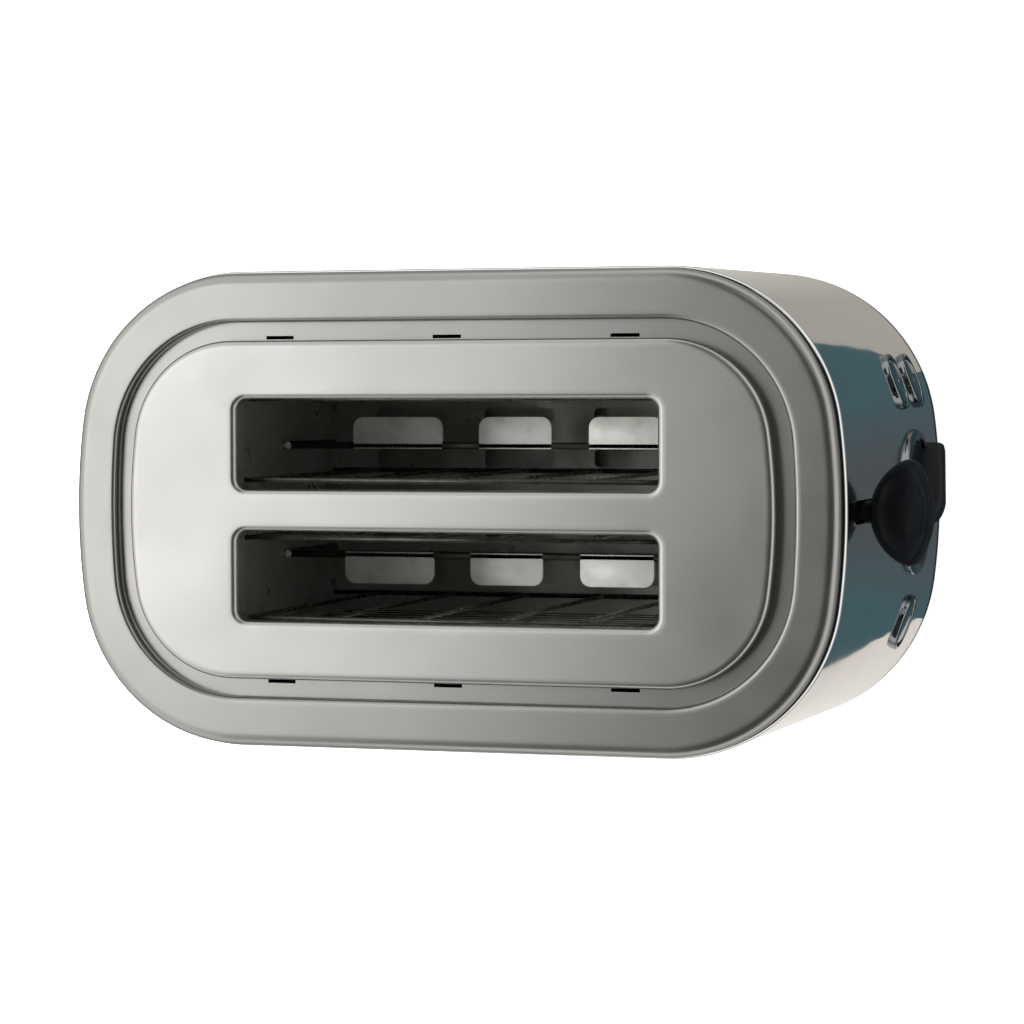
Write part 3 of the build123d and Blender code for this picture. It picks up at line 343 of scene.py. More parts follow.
# %% Finishing a piece
def apply_all(piece):
    """Applies every modifier, and brings the piece's origin to the world's."""
    only(piece)
    for modifier in list(piece.modifiers):
        bpy.ops.object.modifier_apply(modifier=modifier.name)
    bpy.ops.object.transform_apply(location=True, rotation=True, scale=True)


def outward(piece):
    """Merges doubles and turns all faces outwards."""
    only(piece)
    bpy.ops.object.mode_set(mode="EDIT")
    bpy.ops.mesh.select_all(action="SELECT")
    bpy.ops.mesh.remove_doubles(threshold=weld_reach)
    bpy.ops.mesh.normals_make_consistent(inside=False)
    bpy.ops.object.mode_set(mode="OBJECT")


def soften(piece, angle):
    """Smooth shading, with edges sharper than the angle kept crisp."""
    only(piece)
    bpy.ops.object.shade_smooth_by_angle(angle=radians(angle))


def done(piece, body, slot, *nodes, finish=None):
    """Gives a finished piece its material, its body and the nodes it stands for."""
    piece.data.materials.clear()
    piece.data.materials.append(finish or finish_of[slot])
    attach(piece, body)
    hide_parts(*nodes)
    print(piece.name, len(piece.data.polygons), "faces")


print("every piece goes through apply_all, outward, soften and done")

# %% Drawing
def arc(centre, radius, start, end, steps):
    """Points on an arc, from a start to an end angle in degrees."""
    turns = [radians(start + (end - start) * i / steps) for i in range(steps + 1)]
    return [(centre[0] + radius * cos(t), centre[1] + radius * sin(t)) for t in turns]


def draw_chain(name, points):
    """Draws points, in mm, as a chain of edges, and leaves it selected in edit mode."""
    nothing_selected()
    bpy.ops.mesh.primitive_plane_add(size=mm, location=[c * mm for c in points[0]])
    piece = bpy.context.object
    piece.name = name
    bpy.ops.object.mode_set(mode="EDIT")
    bpy.ops.mesh.select_mode(type="VERT")
    bpy.ops.mesh.select_all(action="SELECT")
    bpy.ops.mesh.merge(type="CENTER")
    for before, after in zip(points, points[1:]):
        step = [(b - a) * mm for a, b in zip(before, after)]
        bpy.ops.mesh.extrude_vertices_move(TRANSFORM_OT_translate={"value": step})
    bpy.ops.mesh.select_all(action="SELECT")
    bpy.ops.mesh.remove_doubles(threshold=weld_reach / 2)
    return piece


def draw_profile(name, side, profile):
    """Draws a profile of (outward, height) points at x = 0."""
    return draw_chain(name, [(0, side + out, height) for out, height in profile])


print("a chain of points can be drawn")

# %% The sweep round a plan outline
def mirror_round(piece):
    """Mirrors a quarter of a ring both ways, and moves it to the casing's middle."""
    bpy.ops.object.mode_set(mode="OBJECT")
    apply_all(piece)
    mirror = piece.modifiers.new("mirror", "MIRROR")
    mirror.use_axis = (True, True, False)
    mirror.merge_threshold = level_reach / 2
    apply_all(piece)
    piece.location = (casing_x, 0, 0)
    apply_all(piece)
    outward(piece)
    return piece


def plan_centres(outline):
    """Where a plan's end arc and corner arc have their centres, and the angle at which they meet."""
    half_length, half_width, end_radius, corner_radius = outline
    end_x = half_length - end_radius
    corner_y = half_width - corner_radius
    corner_x = end_x + sqrt((end_radius - corner_radius) ** 2 - corner_y**2)
    return end_x, corner_x, corner_y, atan2(corner_y, corner_x - end_x)


def ring_round(name, profile, outline, corner_steps=28, end_steps=14):
    """A profile swept all the way round a plan outline of the casing."""
    end_x, corner_x, corner_y, meeting = plan_centres(outline)
    half_width = outline[1]
    piece = draw_profile(name, half_width, profile)
    bpy.ops.mesh.extrude_region_move(TRANSFORM_OT_translate={"value": (corner_x * mm, 0, 0)})
    bpy.ops.mesh.spin(steps=corner_steps, angle=radians(90) - meeting,
                      center=(corner_x * mm, corner_y * mm, 0), axis=(0, 0, 1))
    bpy.ops.mesh.spin(steps=end_steps, angle=meeting, center=(end_x * mm, 0, 0), axis=(0, 0, 1))
    return mirror_round(piece)


print("a profile can be swept round a plan outline")

# %% [markdown]
# ## The polished band
# The band is 1 mm sheet that leans in towards the top, where its edge turns over in a small round. Its profile
# is a closed loop, so the sweep gives a closed shell. The openings for the lever, the dial, the buttons, the
# inlet and the crumb tray are then cut through it, as a press would. Every control sits on this wall, so one
# function for its bow and its lean comes first, and gives each control its place and its direction.

# %% The control wall
band_foot = 3.9  # how far the band's foot stands out past the rim, in mm
band_lean = 2.9  # how much of that it loses on its way up


def wall_spot(y, z):
    """The place on the control wall at y and z, in mm, and the direction it faces."""
    end_x, corner_x, corner_y, meeting = plan_centres(rim_outline)
    end_radius, corner_radius = rim_outline[2:]
    growth = band_foot - (z - band_low) / (band_high - band_low) * band_lean
    if abs(y) <= (end_radius + growth) * sin(meeting):
        turn = asin(y / (end_radius + growth))
        x = end_x + (end_radius + growth) * cos(turn)
    else:
        turn = asin((abs(y) - corner_y) / (corner_radius + growth)) * (1 if y > 0 else -1)
        x = corner_x + (corner_radius + growth) * cos(turn)
    return Vector((casing_x + x * mm, y * mm, z * mm)), Vector((cos(turn), sin(turn), 0))


button_places = ((43.5, 68.0), (44.0, 38.0), (-43.8, 52.5))
dial_spot, dial_facing = wall_spot(0, 55.0)
inlet_z = 40.0
inlet_spot = Vector((2 * casing_x - wall_spot(0, inlet_z)[0].x, 0, inlet_z * mm))
print("dial at", dial_spot, "facing", dial_facing, "and inlet at", inlet_spot)

# %% Bars, blocks, round edges and cuts
def round_bar(name, centre, direction, radius, length, sides):
    """A closed cylinder about an axis, for cutting, with its radius and length in mm."""
    nothing_selected()
    turn = Vector(direction).to_track_quat("Z", "Y").to_euler()
    bpy.ops.mesh.primitive_cylinder_add(vertices=sides, radius=radius * mm, depth=length * mm,
                                        location=centre, rotation=turn)
    bar = bpy.context.object
    bar.name = name
    apply_all(bar)
    return bar


def block(name, low, high):
    """A box between two corners, in metres."""
    nothing_selected()
    middle = [(a + b) / 2 for a, b in zip(low, high)]
    bpy.ops.mesh.primitive_cube_add(size=1.0, location=middle)
    box = bpy.context.object
    box.name = name
    box.scale = [b - a for a, b in zip(low, high)]
    apply_all(box)
    return box


def round_edges(piece, test, radius, segments):
    """Bevels the edges that pass a test, with a radius in mm."""
    pick(piece, "EDGE", test)
    bpy.ops.mesh.bevel(offset=radius * mm, segments=segments)
    bpy.ops.object.mode_set(mode="OBJECT")


def cut(piece, *cutters, operation="DIFFERENCE"):
    """Cuts closed cutters out of a closed piece, or keeps what is inside them, and removes the cutters."""
    for cutter in cutters:
        only(piece)
        knife = piece.modifiers.new("cut", "BOOLEAN")
        knife.operation = operation
        knife.solver = "EXACT"
        knife.object = cutter
        bpy.ops.object.modifier_apply(modifier=knife.name)
        bpy.data.objects.remove(cutter, do_unlink=True)


print("cutters can be made and used")

# %% Band
edge_round = 1.6
dial_hole, button_hole, inlet_hole = 23.25, 9.65, 6.05  # radii, in mm
band_profile = (
    [(band_foot, band_low)] + arc((-0.6, band_high - edge_round), edge_round, 0, 90, 8)
    + [(-2.0, band_high), (-2.0, 173.8), (-0.6, 173.8), (0.0, band_high - edge_round)]
    + [(band_foot - 1.0, band_low), (band_foot, band_low)]
)
band = ring_round("polished_band", band_profile, rim_outline, 40, 20)
openings = [round_bar("dial_hole", dial_spot, dial_facing, dial_hole, 40, 96)]
for y, z in button_places:
    openings.append(round_bar("button_hole", *wall_spot(y, z), button_hole, 20, 48))
openings.append(round_bar("inlet_hole", inlet_spot, (1, 0, 0), inlet_hole, 30, 48))
# The lever's slot has round ends: its long edges are bevelled by just under half its width.
lever_slot = block("lever_slot", (casing_x + 0.12, -0.004, 0.096), (casing_x + 0.15, 0.004, 0.1637))
round_edges(lever_slot, lambda c, n: abs(c[0].y - c[1].y) < same and abs(c[0].z - c[1].z) < same, 3.99, 8)
notch = block("tray_notch", (casing_x - 0.16, -0.0504, 0.010), (casing_x - 0.097, 0.0504, 0.0208))
cut(band, *openings, lever_slot, notch)
soften(band, 30)
done(band, "casing", "polished_steel", "wrap_front", "wrap_back", "wrap_control_end", "wrap_rear_end")

# %% [markdown]
# ## The satin rim
# The rim is stamped from one sheet: a rounded outer shoulder, a flat top, and an inner edge that rolls down into
# a groove round the centre plate. The shoulder follows one plan and the groove another, so each is swept on its
# own and Fill closes the flat top between them. A narrow flat margin beside each round keeps the shading of the
# large flats even. Solidify then gives the sheet its thickness, and six notches open where the centre plate's
# tabs come through the groove.

# %% Joining, filling and thickening
lid_sheet = 0.8  # the thickness of the lid's steel, in mm


def join(first, *others):
    """Joins pieces into the first."""
    only(first)
    for other in others:
        other.select_set(True)
    bpy.ops.object.join()
    return first


def fill_at(piece, height):
    """Fills inside, or between, the loops of open edges that lie at one height."""
    only(piece)
    bpy.ops.object.mode_set(mode="EDIT")
    bpy.ops.mesh.select_mode(type="EDGE")
    bpy.ops.mesh.select_all(action="DESELECT")
    bpy.ops.mesh.select_non_manifold(use_wire=False, use_multi_face=False, use_non_contiguous=False,
                                     use_verts=False)
    bpy.ops.object.mode_set(mode="OBJECT")
    mesh = piece.data
    for edge in mesh.edges:
        if any(abs(mesh.vertices[i].co.z - height * mm) > level_reach for i in edge.vertices):
            edge.select = False
    bpy.ops.object.mode_set(mode="EDIT")
    bpy.ops.mesh.fill()
    bpy.ops.object.mode_set(mode="OBJECT")


def thicken(piece):
    """Gives a drawn lid surface the thickness of its sheet, inwards."""
    sheet = piece.modifiers.new("sheet", "SOLIDIFY")
    sheet.thickness = lid_sheet * mm
    sheet.offset = -1.0
    apply_all(piece)


print("surfaces can be joined, filled between and given their sheet's thickness")

# %% Rim
shoulder_round, roll_round = 4.0, 1.5
shoulder_profile = (
    [(0, 176.5)] + arc((-shoulder_round, rim_top - shoulder_round), shoulder_round, 0, 90, 10)
    + [(-shoulder_round - 1.0, rim_top)]
)
roll_profile = (
    [(2.6, rim_top)] + arc((roll_round, rim_top - roll_round), roll_round, 90, 180, 6)
    + [(0.35, 178.35), (-0.1, groove_floor), (-0.7, groove_floor)]
)
shoulder = ring_round("satin_rim", shoulder_profile, rim_outline)
inner_edge = ring_round("inner_edge", roll_profile, groove_outline)
ledge = ring_round("ledge", [(-2.4, groove_floor), (-3.0, groove_floor), (-3.2, 177.6)], plate_outline)
rim = join(shoulder, inner_edge, ledge)
fill_at(rim, rim_top)
fill_at(rim, groove_floor)
outward(rim)
print("rim faces that look down:", sum(f.normal.z < -0.1 for f in rim.data.polygons))
thicken(rim)

# %% Tab notches in the rim's groove
def copies(piece, count):
    """The piece and copies of it, each with its own mesh, to make up a count."""
    pieces = [piece]
    while len(pieces) < count:
        only(piece)
        bpy.ops.object.duplicate()
        pieces.append(bpy.context.object)
    return pieces


reach = Vector((5.0, 0.6, 2.0)) * mm  # half a notch's length, width and height
notch_y = 58.9
notches = copies(block("tab_notch", -reach, reach), 6)
for notch, (x, side) in zip(notches, [(x, side) for x in (-60.0, 0.0, 62.0) for side in (-1, 1)]):
    notch.location = (casing_x + x * mm, side * notch_y * mm, groove_floor * mm)
    apply_all(notch)
cut(rim, *notches)
soften(rim, 30)
done(rim, "casing", "satin_steel", "top_rim", finish=satin_rim_steel)

# %% [markdown]
# ## The centre plate and its slots
# The plate is a shallow lid of its own, drawn from one sheet. Its edge is swept like the rim's. Each bread slot
# has a lip that rolls over and turns down into the chamber, swept round four small corners. Fill closes the flat
# between the edge and both lips, and Solidify thickens all of it at once.

# %% Plate
def ring_square(name, profile, half_length, half_width, corner, corner_steps=8):
    """A profile swept round a rectangle with round corners, in the casing's middle."""
    piece = draw_profile(name, half_width, profile)
    bpy.ops.mesh.extrude_region_move(TRANSFORM_OT_translate={"value": ((half_length - corner) * mm, 0, 0)})
    bpy.ops.mesh.spin(steps=corner_steps, angle=radians(90),
                      center=((half_length - corner) * mm, (half_width - corner) * mm, 0), axis=(0, 0, 1))
    bpy.ops.mesh.extrude_region_move(TRANSFORM_OT_translate={"value": (0, -(half_width - corner) * mm, 0)})
    return mirror_round(piece)


slot_half_length, slot_half_width, slot_corner = 74.8, 15.9, 4.2
slot_y = 22.5  # from the casing's middle to a slot's, in mm
edge_profile = [(0, groove_floor)] + arc((-2.0, plate_top - 2.0), 2.0, 0, 90, 6) + [(-3.0, plate_top)]
plate = ring_round("centre_plate", edge_profile, plate_outline)
lip_profile = [(3.0, plate_top)] + arc((1.5, plate_top - 2.0), 2.0, 90, 180, 8) + [(-0.5, 176.0)]
lips = copies(ring_square("slot_lip", lip_profile, slot_half_length, slot_half_width, slot_corner), 2)
for lip, side in zip(lips, (-1, 1)):
    lip.location.y = side * slot_y * mm
    apply_all(lip)
plate = join(plate, *lips)
fill_at(plate, plate_top)
outward(plate)
thicken(plate)
soften(plate, 30)
done(plate, "casing", "satin_steel", "top_plate")

# %% [markdown]
# ## The base ring and the seal
# Under the band runs a pressed steel ring with a bulging face. Its steel is painted nearly black, as painted shade
# for the dark line of shadow and dark reflection along the base. Over the band a black rubber seal sits in the gap
# below the rim, with a thin lip that stands up to the rim's foot. The seal is real, and its near-black, barely
# reflecting rubber and tall lip are also painted shade for the shadow in that gap. Both are closed profiles swept
# round the casing's plan, which is quicker and cleaner than cutting a gap into a solid.

# %% Base ring and seal
bulge = arc((2.4, 8.0), 1.5, -90, 0, 6) + arc((3.15, 10.55), 0.75, 0, 90, 4)
base_ring = ring_round("bright_base_ring", [(0.5, 6.5)] + bulge + [(0.5, 11.3), (0.5, 6.5)], rim_outline)
soften(base_ring, 40)
done(base_ring, "casing", "chrome", "base_ring", finish=painted_shade_ring_steel)
# Painted shade: the seal's near-black lip stands up to the rim's foot, so it fills the gap below the rim like the
# shadow there.
seal_lip = [(-0.1, 174.9), (0.08, 175.1), (0.08, 178.4), (-0.04, 178.7), (-0.3, 176.6)]
seal = ring_round("gap_seal_and_shade", [(-2.0, 174.9)] + seal_lip + [(-2.0, 176.6), (-2.0, 174.9)], rim_outline)
soften(seal, 40)
done(seal, "casing", "black_plastic", "top_seal", finish=seal_rubber_and_painted_shade)

# %% [markdown]
# ## The lever's knob
# The knob is one black moulding: a D shape whose round side points at the casing, with a dished top to take a
# finger. Its outline is drawn round four arcs that run into each other, filled, and drawn in to make the foot. It
# is then pulled up in steps that widen it to its full size. A bevel rounds its top edge, and a row of smaller
# copies of its top that sink further each time makes the dish. Subdivision could round it too, but would draw
# the D's corners in.

# %% Knob outline
front_x, front_radius = 130.6, 30.0
back_x, back_radius = 159.0, 19.0
# Each corner's arc touches the front's and the back's from inside, at these two angles.
corner_x, corner_y, corner_round = 152.74, 13.63, 4.0
front_turn, back_turn = 31.62, 114.67
front_arc = arc((front_x, 0.0), front_radius, -front_turn, front_turn, 14)
near_corner = arc((corner_x, corner_y), corner_round, front_turn, back_turn, 10)
back_arc = arc((back_x, 0.0), back_radius, back_turn, 360 - back_turn, 32)
far_corner = arc((corner_x, -corner_y), corner_round, 360 - back_turn, 360 - front_turn, 10)
knob_plan = front_arc + near_corner[1:] + back_arc[1:] + far_corner[1:-1]
print("knob outline of", len(knob_plan), "points, from x", back_x - back_radius, "to", front_x + front_radius)

# %% Knob
def sink(steps):
    """Draws the selected face in and down by pairs of a scale and a drop in mm, rounding it a little."""
    for scale, drop in steps:
        bpy.ops.mesh.extrude_region_move(TRANSFORM_OT_translate={"value": (0, 0, -drop * mm)})
        bpy.ops.transform.resize(value=(scale, scale, 1))
        bpy.ops.transform.tosphere(value=0.06)


knob_low, knob_top = 141.5, 158.0
knob = draw_chain("lever_knob_moulding", [(casing_x / mm + x, y, knob_low) for x, y in knob_plan])
bpy.ops.mesh.edge_face_add()
finger_side = (casing_x + 0.146, 0, 0)
size = 0.74  # the foot's, as a share of the full outline's
bpy.ops.transform.resize(value=(size, size, 1), center_override=finger_side)
for rise, wider in ((0.5, 0.8), (1.2, 0.875), (2.3, 0.94), (3.5, 0.98), (4.0, 1.0), (5.0, 1.0)):
    bpy.ops.mesh.extrude_region_move(TRANSFORM_OT_translate={"value": (0, 0, rise * mm)})
    bpy.ops.transform.resize(value=(wider / size, wider / size, 1), center_override=finger_side)
    size = wider
bpy.ops.object.mode_set(mode="OBJECT")
apply_all(knob)
outward(knob)
round_edges(knob, lambda c, n: all(abs(p.z - knob_top * mm) < level_reach for p in c), 1.4, 6)
pick(knob, "FACE", lambda c, n: n.z > 0.99 and len(c) > 20)
bpy.ops.mesh.inset(thickness=0.9 * mm, depth=0)
sink([(0.98, 0.06), (0.965, 0.2), (0.94, 0.4), (0.92, 0.5), (0.9, 0.5), (0.87, 0.45), (0.83, 0.4), (0.77, 0.3),
      (0.66, 0.24), (0.5, 0.12), (0.3, 0.05)])
bpy.ops.object.mode_set(mode="OBJECT")
neck = block("neck", (casing_x + 0.1378, -0.0037, 0.1455), (casing_x + 0.1485, 0.0037, 0.155))
round_edges(neck, lambda c, n: abs(c[0].x - c[1].x) > 0.005, 1.4, 4)
knob = join(knob, neck)
soften(knob, 40)
done(knob, "lever", "black_plastic", "lever_knob", finish=knob_plastic)

# %% [markdown]
# ## The browning dial
# A chrome ring with a round crest frames the dial. Behind it a sleeve holds the knob's disc, and a bar-shaped
# grip crosses the disc and reaches out over the ring as a pointer. Rings and discs are turned with Spin, as on a
# lathe. The grip is drawn from the side, pulled to its width and rounded.

# %% The lathe
def lathe(name, profile, steps=64):
    """A profile of (radius, height) points spun about the upright axis, as on a lathe."""
    piece = draw_chain(name, [(radius, 0, height) for radius, height in profile])
    bpy.ops.mesh.spin(steps=steps, angle=radians(360), center=(0, 0, 0), axis=(0, 0, 1))
    bpy.ops.object.mode_set(mode="OBJECT")
    apply_all(piece)
    outward(piece)
    return piece


def set_at(piece, spot, facing):
    """Turns a piece from the lathe so that its axis has a direction, and moves it to a spot."""
    piece.rotation_euler = Vector(facing).to_track_quat("Z", "Y").to_euler()
    piece.location = spot
    apply_all(piece)
    return piece


print("round parts can be turned and set at their place")

# %% Dial ring
crest = arc((24.25, -0.85), 2.25, 0, 180, 14)
sleeve = [(22.0, -6.0), (3.05, -6.0), (3.05, -6.8), (23.2, -6.8), (23.2, -2.6), (26.5, -2.6), (26.5, -0.85)]
dial_ring = set_at(lathe("dial_ring", crest + sleeve, 96), dial_spot, dial_facing)
soften(dial_ring, 35)
done(dial_ring, "casing", "chrome", "dial_bezel")

# %% Dial knob
disc_edge = [(0, 0.5), (18.6, 0.5), (18.9, 0.2), (19.5, 0.2), (19.8, 0.5)] + arc((20.9, -0.1), 0.6, 90, 0, 4)
disc = set_at(lathe("dial_disc", disc_edge + [(21.5, -3.0), (0, -3.0)], 96), dial_spot, dial_facing)
dial_turn = radians(-35)
grip_half_width = 4
along = Vector((0, cos(dial_turn), sin(dial_turn)))
across = Vector((0, -along.z, along.y))
# Places along the grip and heights above the disc, in mm; a quarter of an ellipse domes its short end.
crown = [(1.3 - 8.8 * cos(radians(a)), 6.3 + 4.0 * sin(radians(a))) for a in range(0, 91, 9)]
side_view = [(-7.5, 0)] + crown + [(23.3, 8.0), (23.3, 1.7), (20.5, 1.7), (20.5, 0)]
corners = [dial_spot / mm + along * a + Vector((h, 0, 0)) - across * grip_half_width for a, h in side_view]
grip = draw_chain("dial_grip", corners)
bpy.ops.mesh.edge_face_add()
bpy.ops.mesh.extrude_region_move(TRANSFORM_OT_translate={"value": across * 2 * grip_half_width * mm})
bpy.ops.object.mode_set(mode="OBJECT")
apply_all(grip)
outward(grip)


def long_upper_edge(c, n):
    """An edge of the grip's sides, clear of the disc and short of the pointer's tip."""
    runs_along = abs((c[0] - c[1]).dot(across)) < same
    clear = min(p.x for p in c) > dial_spot.x + 0.003
    return runs_along and clear and not all((p - dial_spot).dot(along) > 0.023 for p in c)


round_edges(grip, long_upper_edge, 2.2, 6)
disc = join(disc, grip)
disc.name = "dial_knob_moulding"
soften(disc, 35)
done(disc, "dial", "black_plastic", "dial_knob")

# %% [markdown]
# ## The push buttons
# Each button is a bright cap in its own ring. The ring has a thin round crest, and its sleeve runs into the
# casing and guides the cap's stem. The cap stands a little proud, with a soft edge and a small dimple. The three
# are alike, so one ring and one cap are turned, copied, and set square to the curved wall.

# %% Buttons
bezel_profile = (
    arc((9.75, 0.45), 0.75, 0, 90, 5) + arc((9.55, 0.45), 0.75, 90, 180, 5)
    + [(8.8, -4.8), (1.8, -4.8), (1.8, -5.6), (9.6, -5.6), (9.6, -0.95), (10.5, -0.95), (10.5, 0.45)]
)
cap_profile = (
    [(0, 0.7), (0.45, 0.72), (0.7, 1.0)] + arc((7.1, 0.0), 1.0, 90, 0, 6)
    + [(8.1, -3.0), (1.5, -3.0), (1.5, -7.0), (0, -7.0)]
)
rings = copies(lathe("button_ring_1", bezel_profile), 3)
caps = copies(lathe("button_cap_1", cap_profile), 3)
for number, (ring, cap, (y, z)) in enumerate(zip(rings, caps, button_places), start=1):
    ring.name, cap.name = f"button_ring_{number}", f"button_cap_{number}"
    set_at(ring, *wall_spot(y, z))
    soften(ring, 35)
    done(ring, "casing", "chrome", f"button_bezel_{number}")
    set_at(cap, *wall_spot(y, z))
    soften(cap, 35)
    done(cap, f"button_{'abc'[number - 1]}", "chrome", f"button_{number}")

# %% [markdown]
# ## The bread lifters
# A lifter is a dark steel strip on edge, with bright shelves welded along its top that carry the slice. The
# shelves are the light marks in the slots. Each is a flat tongue with round outer corners and softened edges, and
# a rivet sits on the strip's rear end. The second lifter is the first one mirrored, and its shelves sit a little
# further back, as the photograph shows.

# %% A shelf
def round_rims(piece, test, radius, segments):
    """Bevels the outer edges of the faces that pass a test, with a radius in mm."""
    pick(piece, "FACE", test)
    bpy.ops.mesh.region_to_loop()
    bpy.ops.mesh.bevel(offset=radius * mm, segments=segments)
    bpy.ops.object.mode_set(mode="OBJECT")


def shelf(start, length):
    """One shelf of the lifter on the casing's +y side, from a start along the slot, in mm."""
    inner, outer, low, high = 19.15, 31.0, 80.8, 82.0
    left = casing_x / mm + start
    tongue = block("shelf", (left * mm, inner * mm, low * mm), ((left + length) * mm, outer * mm, high * mm))
    round_edges(tongue, lambda c, n: abs(c[0].z - c[1].z) > 0.001 and c[0].y > 0.03, 4.0, 6)
    round_rims(tongue, lambda c, n: n.z > 0.99, 0.3, 2)
    return tongue


shelf_spans = ((-70.0, 35.0), (-21.0, 28.0), (21.0, 28.0), (63.0, 28.0))
print(len(shelf_spans), "shelves on each lifter")

# %% Lifters
lifter_y = 0.0203  # in metres
strip = block("lifter_strip_1", (casing_x - 0.100, lifter_y - 0.0012, 0.072),
              (casing_x + 0.103, lifter_y + 0.0012, 0.082))
round_edges(strip, lambda c, n: abs(c[0].x - c[1].x) > 0.1, 0.5, 3)
strips = copies(strip, 2)
shelf_rows = copies(join(*[shelf(start, length) for start, length in shelf_spans]), 2)
dome = arc((0, 0), 1.5, 90, 0, 8) + [(1.5, -0.6), (0, -0.6)]
rivets = copies(lathe("lifter_rivet_1", dome, 32), 2)
for strip, shelves, rivet, side, slip in zip(strips, shelf_rows, rivets, (1, -1), (1.6, -1.8)):
    number = 1 if side > 0 else 2
    for piece, name in ((strip, "strip"), (shelves, "shelves"), (rivet, "rivet")):
        piece.name = f"lifter_{name}_{number}"
    shelves.location.x = slip * mm
    for piece in (strip, shelves):
        piece.scale.y = side
        apply_all(piece)
        outward(piece)
    set_at(rivet, (casing_x - 0.0945, side * lifter_y, 0.082), (0, 0, 1))
    soften(strip, 40)
    done(strip, "lever", "dark_steel", f"lifter_{number}")
    soften(shelves, 40)
    done(shelves, "lever", "dark_steel", f"lifter_{number}", finish=shelf_steel)
    soften(rivet, 35)
    done(rivet, "lever", "dark_steel", f"lifter_{number}", finish=shelf_steel)

# %% [markdown]
# ## Feet, cord inlet and tray handle
# The feet are turned rubber pads with a ring sunk in the sole and a stud that holds them in the base. The inlet
# bushing is a turned ring too. The tray's handle is a piece of the rear wall's curve, cut from a swept ring, with
# a pull lip below.

# %% Feet
sole = [(0, 0.8), (3.4, 0.8), (3.9, 0.0), (7.0, 0.0)] + arc((7.0, 1.0), 1.0, -90, 0, 5)
stud = [(8.0, 4.6), (7.6, 5.0), (3.2, 5.0), (3.2, 8.0), (0, 8.0)]
feet = copies(lathe("rubber_foot_1", sole + stud, 48), 4)
foot_places = [(x, y) for x in (-98.0, 98.0) for y in (-60.0, 60.0)]
for number, (foot, (x, y)) in enumerate(zip(feet, foot_places), start=1):
    foot.name = f"rubber_foot_{number}"
    set_at(foot, (casing_x + x * mm, y * mm, 0), (0, 0, 1))
    soften(foot, 35)
    done(foot, "casing", "rubber", f"foot_{number}")

# %% Cord inlet
flange = [(8.0, -1.0)] + arc((7.0, 1.5), 1.0, 0, 90, 5) + arc((4.5, 1.7), 0.8, 90, 180, 5)
sleeve = [(3.7, -9.0), (6.0, -9.0), (6.0, -1.0), (8.0, -1.0)]
bushing = set_at(lathe("inlet_bushing", flange + sleeve), inlet_spot, (-1, 0, 0))
soften(bushing, 35)
done(bushing, "casing", "black_plastic", "cord_inlet")

# %% Tray handle
panel_profile = [(3.89, 12.4), (3.75, 20.4), (-4.9, 20.4), (-4.9, 12.4), (3.89, 12.4)]
handle = ring_round("tray_front", panel_profile, rim_outline, 28, 40)
keep = block("keep", (casing_x - 0.150, -0.050, 0.0), (casing_x - 0.130, 0.050, 0.05))
cut(handle, keep, operation="INTERSECT")
lip = block("lip", (casing_x - 0.1469, -0.026, 0.0124), (casing_x - 0.135, 0.026, 0.0154))
round_edges(lip, lambda c, n: all(p.x < casing_x - 0.14 for p in c) and abs(c[0].z - c[1].z) > 0.002, 4.8, 8)
round_rims(lip, lambda c, n: abs(n.z) > 0.99, 0.8, 3)
handle = join(handle, lip)
handle.name = "tray_handle_panel"
soften(handle, 35)
done(handle, "tray", "polished_steel", "tray_handle")

# %% [markdown]
# ## Wires and turned parts of the works
# The bread guards, the guide rod with its spring and bush, the magnet and the lever's arm already have their true
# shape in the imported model. A merged copy of each gets smooth shading, so that wires and turned parts look round.
# Drawing them again would only risk another shape.

# %% Smooth copies
def smooth_copy(node, body):
    """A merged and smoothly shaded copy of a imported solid, which stands for it."""
    nothing_selected()
    copy = bpy.data.objects.new(f"{node}_smooth", frame["nodes"][node].data.copy())
    bpy.context.scene.collection.objects.link(copy)
    only(copy)
    bpy.ops.object.mode_set(mode="EDIT")
    bpy.ops.mesh.select_all(action="SELECT")
    bpy.ops.mesh.remove_doubles(threshold=weld_reach)
    bpy.ops.object.mode_set(mode="OBJECT")
    soften(copy, 50)
    done(copy, body, slot_of[node], node)


for guard in ("back_outer", "back_inner", "front_inner", "front_outer"):
    smooth_copy(f"guard_{guard}", f"guard_{guard}")
for node, body in (("guide_rod", "casing"), ("return_spring", "casing"), ("lever_arm", "lever"),
                   ("carriage_bush", "lever"), ("electromagnet", "casing")):
    smooth_copy(node, body)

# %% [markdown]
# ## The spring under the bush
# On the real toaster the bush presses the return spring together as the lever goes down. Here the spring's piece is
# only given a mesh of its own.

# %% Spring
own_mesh(bpy.data.objects["return_spring_smooth"])

# %% [markdown]
# ## Floor, world and light
# The floor is pale and plain, and the world is white for the camera and for mirrors, so the object stands on
# white as in the photograph. The floor's shader still catches the object's shadow. White could also be a large
# lit backdrop, but that would throw more light on the object than its colours can take.

# %% White for the camera and for mirrors
def white_to_camera(tree, lit, surface):
    """Shows plain white to the camera, and to mirrors and glass, and the lit shader to all other light."""
    rays = tree.nodes.new("ShaderNodeLightPath")
    seen = rays.outputs["Is Camera Ray"]
    for kind in ("Is Glossy Ray", "Is Transmission Ray"):
        either = tree.nodes.new("ShaderNodeMath")
        either.operation = "MAXIMUM"
        tree.links.new(seen, either.inputs[0])
        tree.links.new(rays.outputs[kind], either.inputs[1])
        seen = either.outputs[0]
    blend = tree.nodes.new("ShaderNodeMixShader")
    tree.links.new(seen, blend.inputs["Fac"])
    tree.links.new(lit, blend.inputs[1])
    tree.links.new(surface, blend.inputs[2])
    return blend.outputs[0]


print("white_to_camera parts what is seen from what is lit")

